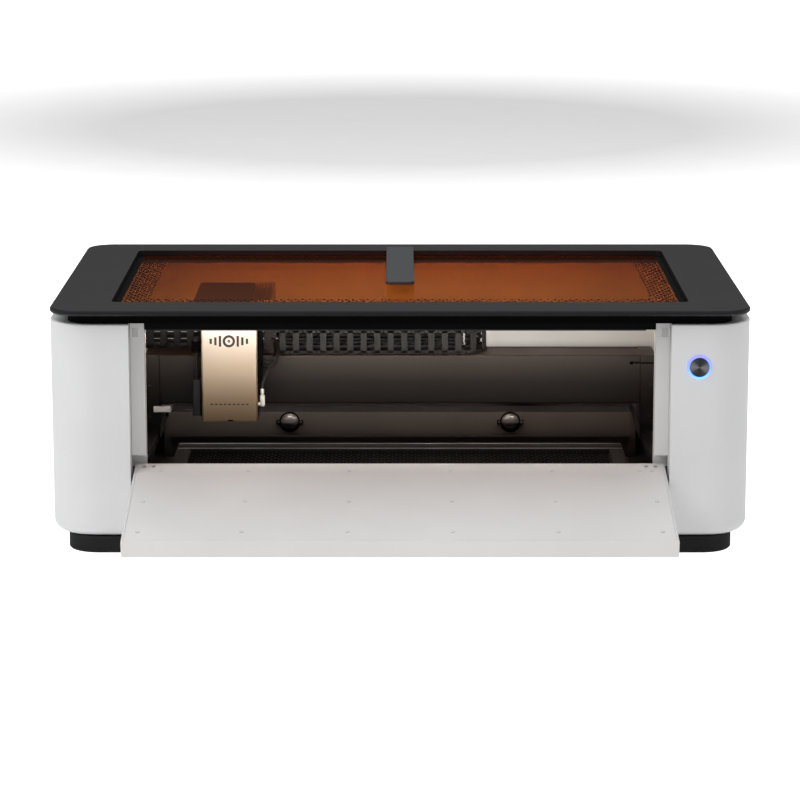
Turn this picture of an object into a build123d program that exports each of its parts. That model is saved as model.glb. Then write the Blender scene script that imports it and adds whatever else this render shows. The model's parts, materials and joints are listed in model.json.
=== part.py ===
from build123d import *
import os
from math import cos, radians, sin

os.makedirs("parts", exist_ok=True)

# A desktop laser cutter. Millimetres, +X to the right, +Y to the back, +Z up. The origin is on the table
# under the middle of the whole machine with its front door open. Depths are measured back from the
# front edge of the lid, and FRONT_Y is where that edge lies.

# Driving dimensions
FRONT_Y = -170.0  # the lid's front edge
LID_HALF = 380.0
LID_DEPTH = 482.0
LID_Z = (266.5, 272.5)
LID_CORNER = 32.0
WINDOW_HALF = 316.0
WINDOW = (57.6, 429.4)  # front and rear edges of the window, as depths
COVER_HALF = 383.5  # outside of the white side covers
COVER_INNER = 294.0  # where the side covers end beside the door
COVER = (15.0, 480.0)  # front and rear faces of the covers, as depths
COVER_TOP = 255.0
COVER_CORNER = 52.0
SHELL = 3.0
FOOT_H = 18.5
DOOR_HALF = 291.0
DOOR_LONG = 203.0
DOOR_THICK = 18.8
DOOR_AXIS = (20.9, 77.1)  # depth and height of the door's trunnion pins
DOOR_BELOW = 27.1  # from the pins to the door's lower edge when it is shut
DOOR_BEHIND = 12.9  # from the pins to the inner face when it is shut
DOOR_OPEN = radians(101.1)  # from shut
DOORWAY_HALF = 278.5
CHAMBER_HALF = 345.0
SHEET = 2.0
FLOOR_Z = 23.5  # top of the base pan
RAIL = (279.0, 295.0)  # inner and outer sides of each Y rail
RAIL_Z = (82.0, 96.0)
RAIL_Y = (58.0, 434.0)
BEAM_HALF = 275.0
BEAM = (205.0, 260.0)  # front and rear faces of the gantry beam, as depths
BEAM_Z = (129.0, 185.7)
MODULE_X = -192.7  # middle of the laser module
MODULE_HALF = 31.35
MODULE_FRONT = 150.0
MODULE_REAR = 200.0
MODULE_Z = (120.0, 225.0)
PULLEY_R = 6.0
BELT_GAP = 0.3  # between a belt and its turning pulleys
BELT_T = 1.4
SHAFT_R = 3.0
RUN_FIT = 0.05  # radial clearance of shafts, pins and slides
PITCH = 15.5  # of the drag chain
CHAIN_Z = (186.0, 214.4)
CHAIN_T = 15.0  # thickness of a link across its bend
CHAIN_FRONT = 218.0  # depth of the middle of the front run
CHAIN_REAR = 253.0
BEND_X = 75.0  # where the chain starts to turn
FRONT_LINKS = 14
REAR_LINKS = 24
BUTTON = (324.6, 208.0)
SIDES = (-1, 1)


def back(depth):
    """The Y of a plane this far behind the lid's front edge."""
    return FRONT_Y + depth


def block(x, y, z, mode=Mode.ADD):
    """A block between two X, two Y and two Z values, on the plane of the part being built."""
    with Locations((sum(x) / 2, sum(y) / 2, sum(z) / 2)):
        Box(abs(x[1] - x[0]), abs(y[1] - y[0]), abs(z[1] - z[0]), mode=mode)


def slab(x, depth, z, mode=Mode.ADD):
    """A block whose second range is given as depths."""
    block(x, (back(depth[0]), back(depth[1])), z, mode)


def beside(side, near, far):
    """The X range between two distances from the middle, on one side."""
    return (side * near, side * far)


def round_plate(half, depth, z, corner, mode=Mode.ADD):
    """A flat plate, symmetric left to right, with rounded plan corners."""
    with BuildSketch(Plane(origin=(0, back(sum(depth) / 2), z[0]))) as plan:
        RectangleRounded(2 * half, depth[1] - depth[0], corner)
    extrude(plan.sketch, amount=z[1] - z[0], mode=mode)


def rod(axis, centre, radius, length, mode=Mode.ADD):
    """A cylinder along X, Y or Z, centred on (x, depth, z)."""
    turn = {"x": (0, 90, 0), "y": (90, 0, 0), "z": (0, 0, 0)}[axis]
    with Locations((centre[0], back(centre[1]), centre[2])):
        Cylinder(radius, length, rotation=turn, mode=mode)


# ---------------------------------------------------------------- casing

# Folded base pan, whose front edge turns up as the sill of the work space
SILL = (52.0, 54.0)
SILL_TOP = 90.0
PAN_HALF = CHAMBER_HALF - 0.3
with BuildPart() as base_pan:
    slab((-PAN_HALF, PAN_HALF), (SILL[0], 463.9), (FLOOR_Z - SHEET, FLOOR_Z))
    slab((-PAN_HALF, PAN_HALF), SILL, (FLOOR_Z - SHEET, SILL_TOP))
base_pan.part.label = "base_pan"
export_step(base_pan.part, "parts/base_pan.step")

# Side covers: moulded shells with a front, an outer side, a rear wall, a floor and a ledge round the top
COVER_INSIDE = (COVER[0] + SHELL, COVER[1] - SHELL)
COVER_ROOM = (FOOT_H + SHELL, COVER_TOP - SHELL)
LOW_FILLET = 12.0
PANEL_HALF = COVER_INNER - 0.3
with BuildPart() as cover_hollow:
    round_plate(COVER_HALF - SHELL, COVER_INSIDE, COVER_ROOM, COVER_CORNER - SHELL)
    fillet(cover_hollow.edges().group_by(Axis.Z)[0], LOW_FILLET - SHELL)

for side, name in ((-1, "side_cover_left"), (1, "side_cover_right")):
    with BuildPart() as side_cover:
        round_plate(COVER_HALF, COVER, (FOOT_H, COVER_TOP), COVER_CORNER)
        fillet(side_cover.edges().group_by(Axis.Z)[0], LOW_FILLET)
        fillet(side_cover.edges().group_by(Axis.Z)[-1], 2)
        add(cover_hollow.part, mode=Mode.SUBTRACT)
        # the inner wall beside the door, which holds the trunnion pin, and the one at the back
        for depth in ((COVER_INSIDE[0], 50.0), (467.0, COVER_INSIDE[1])):
            slab(beside(side, COVER_INNER, COVER_INNER + SHELL), depth, COVER_ROOM)
        # what lies nearer the middle belongs to the other panels, and the work space is open above
        slab((-side * 400, side * COVER_INNER), (0, 500), (0, 300), Mode.SUBTRACT)
        slab(beside(side, 290, CHAMBER_HALF + 1), (34, 466.5), (245.7, 260), Mode.SUBTRACT)
        rod("x", (side * (COVER_INNER + 4), *DOOR_AXIS), SHAFT_R + RUN_FIT, 14, Mode.SUBTRACT)
        if side > 0:
            rod("y", (BUTTON[0], COVER[0], BUTTON[1]), 13.1, 10, Mode.SUBTRACT)
    side_cover.part.label = name
    export_step(side_cover.part, f"parts/{name}.step")


def folded_panel(outer, inner, flange_end, z, inner_top):
    """A wall between the side covers, from outer to inner depth, with flanges that reach flange_end."""
    with BuildSketch(Plane(origin=(-PANEL_HALF, 0, 0), x_dir=(0, 1, 0), z_dir=(1, 0, 0))) as profile:
        for wall, bottom, top, radius, mode in (
            (outer, z[0], z[1], LOW_FILLET, Mode.ADD),
            (inner, z[0] + SHELL, inner_top, LOW_FILLET - SHELL, Mode.SUBTRACT),
        ):
            with BuildSketch(mode=Mode.PRIVATE) as area:
                with Locations(((back(wall) + back(flange_end)) / 2, (bottom + top) / 2)):
                    Rectangle(abs(flange_end - wall), top - bottom)
                low = area.vertices().group_by(Axis.Y)[0].sort_by(Axis.X)[0 if wall < flange_end else -1]
                fillet(low, radius)
            add(area.sketch, mode=mode)
    extrude(profile.sketch, amount=2 * PANEL_HALF)


# Fixed panel under the door, with a floor flange; the shut door's lower edge swings just above it
FASCIA_TOP = 46.5
with BuildPart() as front_fascia:
    folded_panel(COVER[0], COVER_INSIDE[0], 51.7, (FOOT_H, FASCIA_TOP), FASCIA_TOP)
front_fascia.part.label = "front_fascia"
export_step(front_fascia.part, "parts/front_fascia.step")

# Rear cover: outer skin with vents, a top flange and a floor flange
FAN_X = 150.0
FAN_Z = 120.0
FAN_BORE = 23.0
PORT_R = 33.0
PORT_CUT = 38.0  # half the square opening that the port's flange covers
INLET = (-215.0, 60.0)
USB = (-165.0, 60.0)
with BuildPart() as rear_cover:
    folded_panel(COVER[1], COVER_INSIDE[1], 466.8, (FOOT_H, COVER_TOP - 0.3), COVER_ROOM[1])
    for (x, z), half_w, half_h in (((FAN_X, FAN_Z), PORT_CUT, PORT_CUT), (INLET, 14, 12), (USB, 7, 6.5)):
        slab((x - half_w, x + half_w), (470, 490), (z - half_h, z + half_h), Mode.SUBTRACT)
    with BuildSketch(Plane(origin=(-90, back(COVER[1] + 1), 150), x_dir=(1, 0, 0), z_dir=(0, -1, 0))):
        with GridLocations(13, 44, 20, 2):
            SlotOverall(34, 5, rotation=90)
    extrude(amount=10, mode=Mode.SUBTRACT)
rear_cover.part.label = "rear_cover"
export_step(rear_cover.part, "parts/rear_cover.step")

# Sheet walls of the work space; the rear one has the fan's hole
WALL_Z = (21.7, 245.7)
REAR_WALL = (464.2, 466.2)
with BuildPart() as chamber_walls:
    for side in SIDES:
        slab(beside(side, CHAMBER_HALF, CHAMBER_HALF + SHEET), (SILL[0], REAR_WALL[0] - 0.3), WALL_Z)
    slab((-CHAMBER_HALF - 2, CHAMBER_HALF + 2), REAR_WALL, WALL_Z)
    rod("y", (FAN_X, REAR_WALL[0], FAN_Z), FAN_BORE, 10, Mode.SUBTRACT)
chamber_walls.part.label = "chamber_walls"
export_step(chamber_walls.part, "parts/chamber_walls.step")

# Ring under the lid, with the front rail over the doorway
FRAME_Z = (246.0, 254.5)
JAMB = (34.2, 36.2)  # front and rear of the strips that the shut door meets
with BuildPart() as top_frame:
    slab((-345.7, 345.7), (34.3, 465.7), FRAME_Z)
    slab((-328, 328), (50, 448), FRAME_Z, Mode.SUBTRACT)
    for side in SIDES:
        slab(beside(side, DOORWAY_HALF - 0.2, COVER_INNER + 0.2), (34, 38), FRAME_Z, Mode.SUBTRACT)
top_frame.part.label = "top_frame"
export_step(top_frame.part, "parts/top_frame.step")

# Door jambs: a landing strip, a web and an inner panel folded from one sheet on each side
CATCH_X = (285.0, 291.0)
CATCH_Z = (238.0, 248.0)
STRIP_LOW = 106.0  # below it the door's lower corner swings through
with BuildPart() as door_jambs:
    for side in SIDES:
        slab(beside(side, DOORWAY_HALF, PANEL_HALF), JAMB, (STRIP_LOW, FRAME_Z[1]))
        slab(beside(side, DOORWAY_HALF, DOORWAY_HALF + SHEET), (JAMB[0], SILL[1]), (STRIP_LOW, WALL_Z[1]))
        slab(beside(side, DOORWAY_HALF, PAN_HALF), SILL, (SILL_TOP + 0.2, WALL_Z[1]))
        slab(beside(side, *CATCH_X), (JAMB[0], JAMB[0] + 1.2), CATCH_Z, Mode.SUBTRACT)
door_jambs.part.label = "door_jambs"
export_step(door_jambs.part, "parts/door_jambs.step")

# Magnetic catch plates let into the strips
with BuildPart() as catch_plates:
    for side in SIDES:
        plate_z = (CATCH_Z[0] + 0.2, CATCH_Z[1] - 0.2)
        slab(beside(side, CATCH_X[0] + 0.2, CATCH_X[1] - 0.2), (34.1, 35.4), plate_z)
catch_plates.part.label = "catch_plates"
export_step(catch_plates.part, "parts/catch_plates.step")

# Four corner feet, rounded on their outer corners
with BuildPart() as feet:
    round_plate(366, (18, 477), (0, FOOT_H), 35)
    chamfer(feet.edges().group_by(Axis.Z)[0], 1.5)
    slab((-303, 303), (0, 500), (0, FOOT_H), Mode.SUBTRACT)
    slab((-400, 400), (84, 411), (0, FOOT_H), Mode.SUBTRACT)
feet.part.label = "feet"
export_step(feet.part, "parts/feet.step")

# LED strip under the front rail
with BuildPart() as led_strip:
    slab((-268, 268), (39, 48), (244.0, FRAME_Z[0]))
led_strip.part.label = "led_strip"
export_step(led_strip.part, "parts/led_strip.step")

# Push button: a barrel with a bright ring, and the cap that moves in it
BUTTON_R = 10.5
with BuildPart() as button_barrel:
    rod("y", (BUTTON[0], 22, BUTTON[1]), 12.9, 17)
    rod("y", (BUTTON[0], 20.5, BUTTON[1]), BUTTON_R + 0.35, 14.2, Mode.SUBTRACT)
button_barrel.part.label = "button_barrel"
export_step(button_barrel.part, "parts/button_barrel.step")

with BuildPart() as power_button:
    rod("y", (BUTTON[0], 17.2, BUTTON[1]), BUTTON_R, 8)
    fillet(power_button.edges().filter_by(GeomType.CIRCLE).sort_by(Axis.Y)[0], 0.6)
power_button.part.label = "power_button"
export_step(power_button.part, "parts/power_button.step")

# Power inlet and USB socket in the rear cover, each an open shell with its contact
with BuildPart() as rear_sockets:
    for (x, z), half_w, half_h in ((INLET, 13.8, 11.8), (USB, 6.8, 6.3)):
        slab((x - half_w, x + half_w), (468.5, 480.8), (z - half_h, z + half_h))
        slab((x - half_w + 3, x + half_w - 3), (472, 480.8), (z - half_h + 3, z + half_h - 3), Mode.SUBTRACT)
        slab((x - half_w / 3, x + half_w / 3), (470, 478), (z - 1, z + 1))
rear_sockets.part.label = "rear_sockets"
export_step(rear_sockets.part, "parts/rear_sockets.step")

# Power supply in the left cover and control board in the right one
with BuildPart() as power_supply:
    slab((-378, -CHAMBER_HALF - SHEET), (120, 335), (31, 141))
    chamfer(power_supply.edges().filter_by(Axis.Y), 1.5)
    with BuildSketch(Plane(origin=(-378, back(228), 86), x_dir=(0, 1, 0), z_dir=(1, 0, 0))):
        with GridLocations(12, 24, 14, 3):
            SlotOverall(16, 4, rotation=90)
    extrude(amount=2, mode=Mode.SUBTRACT)
power_supply.part.label = "power_supply"
export_step(power_supply.part, "parts/power_supply.step")

BOARD_X = (349.5, 351.1)
with BuildPart() as control_board:
    slab(BOARD_X, (150, 330), (60, 180))
    slab((BOARD_X[1], 366), (190, 235), (95, 140))
    for depth in (160, 250, 280, 305):
        slab((BOARD_X[1], 361), (depth, depth + 18), (150, 176))
    for depth in (156, 324):
        for height in (66, 174):
            rod("x", (348.25, depth, height), 3, 2.5)
control_board.part.label = "control_board"
export_step(control_board.part, "parts/control_board.step")

# ---------------------------------------------------------------- exhaust

FAN_SIZE = 50.0
with BuildPart() as exhaust_fan_frame:
    fan_half = FAN_SIZE / 2
    slab((FAN_X - fan_half, FAN_X + fan_half), (439, 464.2), (FAN_Z - fan_half, FAN_Z + fan_half))
    fillet(exhaust_fan_frame.edges().filter_by(Axis.Y), 4)
    rod("y", (FAN_X, 451, FAN_Z), FAN_BORE, 30, Mode.SUBTRACT)
    rod("y", (FAN_X, 462.7, FAN_Z), 9, 3)
    slab((FAN_X - 24, FAN_X + 24), (461.2, 464.2), (FAN_Z - 2, FAN_Z + 2))
    slab((FAN_X - 2, FAN_X + 2), (461.2, 464.2), (FAN_Z - 24, FAN_Z + 24))
exhaust_fan_frame.part.label = "exhaust_fan_frame"
export_step(exhaust_fan_frame.part, "parts/exhaust_fan_frame.step")

BLADES = 7
FAN_PLANE = Plane(origin=(FAN_X, back(450), FAN_Z), x_dir=(1, 0, 0), z_dir=(0, -1, 0))
with BuildPart(FAN_PLANE) as exhaust_fan_rotor:
    Cylinder(9, 19)
    with PolarLocations(14.8, BLADES):
        Box(14, 1.6, 16, rotation=(38, 0, 0))
exhaust_fan_rotor.part.label = "exhaust_fan_rotor"
export_step(exhaust_fan_rotor.part, "parts/exhaust_fan_rotor.step")

# Exhaust port: a collar for a hose on a square flange, open to the fan
PORT_END = 494.0
FLANGE_HALF = 44.0
with BuildPart() as exhaust_port:
    rod("y", (FAN_X, (466.4 + COVER[1]) / 2, FAN_Z), PORT_R - 1.8, COVER[1] - 466.4)
    flange = [(middle - FLANGE_HALF, middle + FLANGE_HALF) for middle in (FAN_X, FAN_Z)]
    slab(flange[0], (COVER[1], COVER[1] + 2), flange[1])
    fillet(exhaust_port.edges().filter_by(Axis.Y).filter_by(lambda e: e.length < 2.1), 6)
    rod("y", (FAN_X, (COVER[1] + PORT_END) / 2, FAN_Z), PORT_R, PORT_END - COVER[1])
    rod("y", (FAN_X, 480, FAN_Z), PORT_R - 3.5, 40, Mode.SUBTRACT)
exhaust_port.part.label = "exhaust_port"
export_step(exhaust_port.part, "parts/exhaust_port.step")

# ---------------------------------------------------------------- lid

with BuildPart() as lid_frame:
    round_plate(LID_HALF, (0, LID_DEPTH), LID_Z, LID_CORNER)
    chamfer(lid_frame.edges().group_by(Axis.Z)[-1], 1.2)
    chamfer(lid_frame.edges().group_by(Axis.Z)[0], 2)
    round_plate(WINDOW_HALF, WINDOW, LID_Z, 8, Mode.SUBTRACT)
lid_frame.part.label = "lid_frame"
export_step(lid_frame.part, "parts/lid_frame.step")

# Amber window, bonded under the frame
with BuildPart() as lid_glass:
    round_plate(WINDOW_HALF + 10, (WINDOW[0] - 10, WINDOW[1] + 10), (LID_Z[0] - 3, LID_Z[0]), 14)
lid_glass.part.label = "lid_glass"
export_step(lid_glass.part, "parts/lid_glass.step")

# Skirt that closes the gap above the covers
with BuildPart() as lid_skirt:
    round_plate(362, (20, 462), (COVER_TOP + 0.4, LID_Z[0]), 26)
    round_plate(352, (30, 452), (COVER_TOP + 0.4, LID_Z[0]), 16, Mode.SUBTRACT)
lid_skirt.part.label = "lid_skirt"
export_step(lid_skirt.part, "parts/lid_skirt.step")

# Rear hinges: two fixed knuckles and a pin on each side, and one knuckle on a leaf under the lid
LID_AXIS = (474.0, 261.0)
HINGE_X = 250.0
KNUCKLE_R = 4.6
PIN_R = 2.0
with BuildPart() as lid_hinge_bases:
    for side in SIDES:
        slab(beside(side, HINGE_X - 18, HINGE_X + 18), (468, 478.5), (COVER_TOP - 0.3, 256))
        for near in (HINGE_X - 18, HINGE_X + 7):
            rod("x", (side * (near + 5.5), *LID_AXIS), KNUCKLE_R, 11)
            slab(beside(side, near, near + 11), (470, 478), (255.9, LID_AXIS[1]))
        rod("x", (side * HINGE_X, *LID_AXIS), PIN_R, 38)
lid_hinge_bases.part.label = "lid_hinge_bases"
export_step(lid_hinge_bases.part, "parts/lid_hinge_bases.step")

with BuildPart() as lid_hinge_leaves:
    for side in SIDES:
        rod("x", (side * HINGE_X, *LID_AXIS), KNUCKLE_R, 13.4)
        slab(beside(side, HINGE_X - 6.7, HINGE_X + 6.7), (463, 476), (263.5, LID_Z[0]))
        rod("x", (side * HINGE_X, *LID_AXIS), PIN_R + RUN_FIT, 20, Mode.SUBTRACT)
lid_hinge_leaves.part.label = "lid_hinge_leaves"
export_step(lid_hinge_leaves.part, "parts/lid_hinge_leaves.step")

# Camera arm, folded down over the window on a pivot at the rear edge
ARM_HALF = 16.25
ARM = (160.0, 421.0)
ARM_Z = (274.5, 278.5)
ARM_AXIS = (423.5, 271.5)
ARM_PIN_R = 1.5
with BuildPart() as camera_bracket:
    slab((-13, 13), (417, 429.2), (LID_Z[0], 268))
    for side in SIDES:
        slab(beside(side, 10, 13), (418, 429.2), (LID_Z[0], 273.2))
    slab((-13, 13), (428.2, 429.2), (LID_Z[0], 272.4))
    rod("x", (0, *ARM_AXIS), ARM_PIN_R, 26)
camera_bracket.part.label = "camera_bracket"
export_step(camera_bracket.part, "parts/camera_bracket.step")

# The arm carries the camera's round pod, a little behind its tip
with BuildPart() as camera_arm:
    rod("z", (0, 203, 271.5), 11, 6)
    chamfer(camera_arm.edges().group_by(Axis.Z)[0], 1.5)
    slab((-ARM_HALF, ARM_HALF), ARM, ARM_Z)
    fillet(camera_arm.edges().filter_by(Axis.Z).filter_by(lambda e: e.length > 3.9).group_by(Axis.Y)[0], 7)
    fillet(camera_arm.edges().group_by(Axis.Z)[-1], 1.2)
    slab((-9.6, 9.6), (413, ARM_AXIS[0]), (272.8, 276))
    rod("x", (0, *ARM_AXIS), 3.2, 19.2)
    rod("x", (0, *ARM_AXIS), ARM_PIN_R + RUN_FIT, 30, Mode.SUBTRACT)
camera_arm.part.label = "camera_arm"
export_step(camera_arm.part, "parts/camera_arm.step")

# ---------------------------------------------------------------- door

# The door's own plane turns with it: X along the pins, Y through its thickness towards the inner face,
# Z up the door when it is shut. Its origin is on the pins.
DOOR_PLANE = Plane(
    origin=(0, back(DOOR_AXIS[0]), DOOR_AXIS[1]),
    x_dir=(1, 0, 0),
    z_dir=(0, -sin(DOOR_OPEN), cos(DOOR_OPEN)),
)
DOOR_Y = (DOOR_BEHIND - DOOR_THICK, DOOR_BEHIND)
DOOR_Z = (-DOOR_BELOW, DOOR_LONG - DOOR_BELOW)
DOOR_WALL = 2.5
INNER_T = 2.0
with BuildPart(DOOR_PLANE) as door_outer:
    block((-DOOR_HALF, DOOR_HALF), DOOR_Y, DOOR_Z)
    fillet(door_outer.edges(), 1.5)
    pocket_half = DOOR_HALF - DOOR_WALL
    pocket_z = (DOOR_Z[0] + DOOR_WALL, DOOR_Z[1] - DOOR_WALL)
    block((-pocket_half, pocket_half), (DOOR_Y[0] + DOOR_WALL, DOOR_Y[1]), pocket_z, Mode.SUBTRACT)
    for side in SIDES:
        with Locations((side * (DOOR_HALF - 1.25), 0, 0)):
            Cylinder(SHAFT_R, 6, rotation=(0, 90, 0), mode=Mode.SUBTRACT)
door_outer.part.label = "door_outer"
export_step(door_outer.part, "parts/door_outer.step")

SCREW_X = (55.3, 166.0, 275.0)
SCREW_ROWS = (21.7, 102.4, 179.3)  # from the door's lower edge
SCREW_R = 2.4
with BuildPart(DOOR_PLANE) as door_inner:
    inner_half = pocket_half - 0.3
    inner_z = (pocket_z[0] + 0.3, pocket_z[1] - 0.3)
    block((-inner_half, inner_half), (DOOR_Y[1] - INNER_T, DOOR_Y[1]), inner_z)
    for side in SIDES:
        for x in (270.5, 280.5):
            with Locations((side * x, DOOR_Y[1] - 1, DOOR_Z[0] + 9)):
                Cylinder(2.5, 4, rotation=(90, 0, 0), mode=Mode.SUBTRACT)
door_inner.part.label = "door_inner"
export_step(door_inner.part, "parts/door_inner.step")

# Low-domed screw heads on the inner panel, with a second one at each end of the row nearest the pins
with BuildPart(DOOR_PLANE) as door_screws:
    places = [(side * x, row) for side in SIDES for x in SCREW_X for row in SCREW_ROWS]
    places += [(side * 262.0, SCREW_ROWS[0]) for side in SIDES]
    with Locations(*[(x, DOOR_Y[1] + 0.6, DOOR_Z[0] + row) for x, row in places]):
        Cylinder(SCREW_R, 1.2, rotation=(90, 0, 0))
    chamfer(door_screws.faces().filter_by(GeomType.PLANE).edges().filter_by(GeomType.CIRCLE), 0.3)
door_screws.part.label = "door_screws"
export_step(door_screws.part, "parts/door_screws.step")

with BuildPart(DOOR_PLANE) as door_pins:
    with Locations((-292.5, 0, 0), (292.5, 0, 0)):
        Cylinder(SHAFT_R, 17, rotation=(0, 90, 0))
door_pins.part.label = "door_pins"
export_step(door_pins.part, "parts/door_pins.step")

# ---------------------------------------------------------------- bed and rear duct

BED = (62.0, 386.0)
BED_HALF = 268.0
BED_HOLE = (78.0, 354.0)
BED_HOLE_HALF = 252.0
BED_Z = (35.0, 43.0)
with BuildPart() as bed_frame:
    slab((-BED_HALF, BED_HALF), BED, BED_Z)
    slab((-BED_HOLE_HALF, BED_HOLE_HALF), BED_HOLE, BED_Z, Mode.SUBTRACT)
    slab((-BED_HALF, BED_HALF), (368, 371), (41.5, 43), Mode.SUBTRACT)
    for side in SIDES:
        for depth in (64, 358):
            slab(beside(side, 253.5, 266), (depth, depth + 12), (FLOOR_Z, BED_Z[0]))
bed_frame.part.label = "bed_frame"
export_step(bed_frame.part, "parts/bed_frame.step")

# Crossed slats that carry the work
SLAT = 1.4
SLATS_X = 21
SLATS_Y = 12
with BuildPart() as bed_slats:
    slat_z = (34.0, 41.5)
    for i in range(SLATS_X):
        x = -240 + 24 * i
        slab((x - SLAT / 2, x + SLAT / 2), (BED_HOLE[0] + 0.3, BED_HOLE[1] - 0.3), slat_z)
    for i in range(SLATS_Y):
        depth = 84 + 24 * i
        slab((-BED_HOLE_HALF + 0.3, BED_HOLE_HALF - 0.3), (depth - SLAT / 2, depth + SLAT / 2), slat_z)
bed_slats.part.label = "bed_slats"
export_step(bed_slats.part, "parts/bed_slats.step")

# Cross duct behind the bed
DUCT = (400.0, 438.0)
DUCT_HALF = 286.0
DUCT_TOP = 79.0
with BuildPart() as rear_duct:
    slab((-DUCT_HALF, DUCT_HALF), DUCT, (FLOOR_Z, DUCT_TOP))
    for side in SIDES:
        slab(beside(side, 278, DUCT_HALF), (DUCT[0] - 1.5, DUCT[1]), (FLOOR_Z, DUCT_TOP + 1))
    slab((-278, 278), (DUCT[0] - 4, DUCT[0]), (49, 51))
    slab((-276, 276), (DUCT[0] + 2, DUCT[1] - 2), (FLOOR_Z + 2, DUCT_TOP - 2), Mode.SUBTRACT)
    slab((-262, -236), (412, 418), (DUCT_TOP - 2, DUCT_TOP), Mode.SUBTRACT)
rear_duct.part.label = "rear_duct"
export_step(rear_duct.part, "parts/rear_duct.step")

# Dome sensors on the duct's front, each in a flange with two screw ears
DOME_X = 133.8
DOME_Z = 67.0
with BuildPart() as sensor_domes:
    for side in SIDES:
        seat = (side * DOME_X, back(DUCT[0]), DOME_Z)
        with BuildSketch(Plane(origin=seat, x_dir=(1, 0, 0), z_dir=(0, -1, 0))):
            SlotOverall(33, 8)
            Circle(11.9)
        extrude(amount=1.6)
        with Locations((side * DOME_X, back(DUCT[0] + 2.5), DOME_Z)):
            Sphere(11.4)
        slab(beside(side, 110, 160), (DUCT[0], DUCT[0] + 20), (50, 85), Mode.SUBTRACT)
        for ear in (-13.5, 13.5):
            rod("y", (side * DOME_X + ear, DUCT[0] - 2, DOME_Z), 1.6, 1.2)
sensor_domes.part.label = "sensor_domes"
export_step(sensor_domes.part, "parts/sensor_domes.step")

# ---------------------------------------------------------------- Y motion

BELT_X = (300.0, 306.0)
BELT_Z = 87.3
IDLER_Y = 66.0
SHAFT_Y = 444.0
with BuildPart() as y_rails:
    for side in SIDES:
        slab(beside(side, *RAIL), RAIL_Y, RAIL_Z)
        for near in (RAIL[0], RAIL[1] - 2):
            slab(beside(side, near, near + 2), RAIL_Y, (83.5, 86.5), Mode.SUBTRACT)
y_rails.part.label = "y_rails"
export_step(y_rails.part, "parts/y_rails.step")

# Posts under the rails, the brackets that carry the cross shaft, and the stubs of the front idlers
POST = (287.5, 294.5)
with BuildPart() as rail_posts:
    for side in SIDES:
        for depth in (80, 416):
            slab(beside(side, *POST), (depth, depth + 14), (FLOOR_Z, RAIL_Z[0]))
        slab(beside(side, *POST), (SHAFT_Y - 7.5, SHAFT_Y + 8), (FLOOR_Z, 96))
        rod("x", (side * 291, SHAFT_Y, BELT_Z), SHAFT_R + RUN_FIT, 10, Mode.SUBTRACT)
        slab(beside(side, 287.5, 298.2), (57.5, 74), (FLOOR_Z, 81.7))
        slab(beside(side, 295.3, 298.2), (57.5, 74), (FLOOR_Z, 96))
        rod("x", (side * 302.5, IDLER_Y, BELT_Z), PIN_R, 10)
rail_posts.part.label = "rail_posts"
export_step(rail_posts.part, "parts/rail_posts.step")


def belt_loop(plane, reach, width):
    """A closed belt round two pulleys, centred on the plane, reach being half their distance."""
    inner = PULLEY_R + BELT_GAP
    outer = inner + BELT_T
    with BuildSketch(plane) as loop:
        SlotCenterToCenter(2 * reach, 2 * outer)
        SlotCenterToCenter(2 * reach, 2 * inner, mode=Mode.SUBTRACT)
    extrude(loop.sketch, amount=width)


with BuildPart() as y_belts:
    for x in (BELT_X[0], -BELT_X[1]):
        middle = (x, back((IDLER_Y + SHAFT_Y) / 2), BELT_Z)
        belt_loop(Plane(origin=middle, x_dir=(0, 1, 0), z_dir=(1, 0, 0)), (SHAFT_Y - IDLER_Y) / 2, 6)
y_belts.part.label = "y_belts"
export_step(y_belts.part, "parts/y_belts.step")

FLANGE_R = 8.4


def x_pulley(side):
    """A flanged pulley on the X axis of a Y belt."""
    rod("x", (side * 303, 0, 0), PULLEY_R, 6.8)
    for x in (299.0, 307.0):
        rod("x", (side * x, 0, 0), FLANGE_R, 1.2)


SHAFT_PLANE = Plane(origin=(0, SHAFT_Y, BELT_Z))
IDLER_PLANE = Plane(origin=(0, IDLER_Y, BELT_Z))
with BuildPart(SHAFT_PLANE) as y_cross_shaft:
    with Locations((-10, FRONT_Y, 0)):
        Cylinder(SHAFT_R, 640, rotation=(0, 90, 0))
    for side in SIDES:
        x_pulley(side)
y_cross_shaft.part.label = "y_cross_shaft"
export_step(y_cross_shaft.part, "parts/y_cross_shaft.step")

with BuildPart(IDLER_PLANE) as y_idlers:
    for side in SIDES:
        x_pulley(side)
        rod("x", (side * 303, 0, 0), PIN_R + RUN_FIT, 12, Mode.SUBTRACT)
y_idlers.part.label = "y_idlers"
export_step(y_idlers.part, "parts/y_idlers.step")

MOTOR = 35.0
with BuildPart() as y_motor:
    slab((-343, -312), (SHAFT_Y - MOTOR / 2, SHAFT_Y + MOTOR / 2), (BELT_Z - MOTOR / 2, BELT_Z + MOTOR / 2))
    chamfer(y_motor.edges().filter_by(Axis.X), 3)
    slab((-312, -310), (SHAFT_Y - MOTOR / 2, SHAFT_Y + MOTOR / 2), (FLOOR_Z, BELT_Z + MOTOR / 2))
    rod("x", (-320, SHAFT_Y, BELT_Z), SHAFT_R + RUN_FIT, 24, Mode.SUBTRACT)
y_motor.part.label = "y_motor"
export_step(y_motor.part, "parts/y_motor.step")

# ---------------------------------------------------------------- gantry

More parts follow.
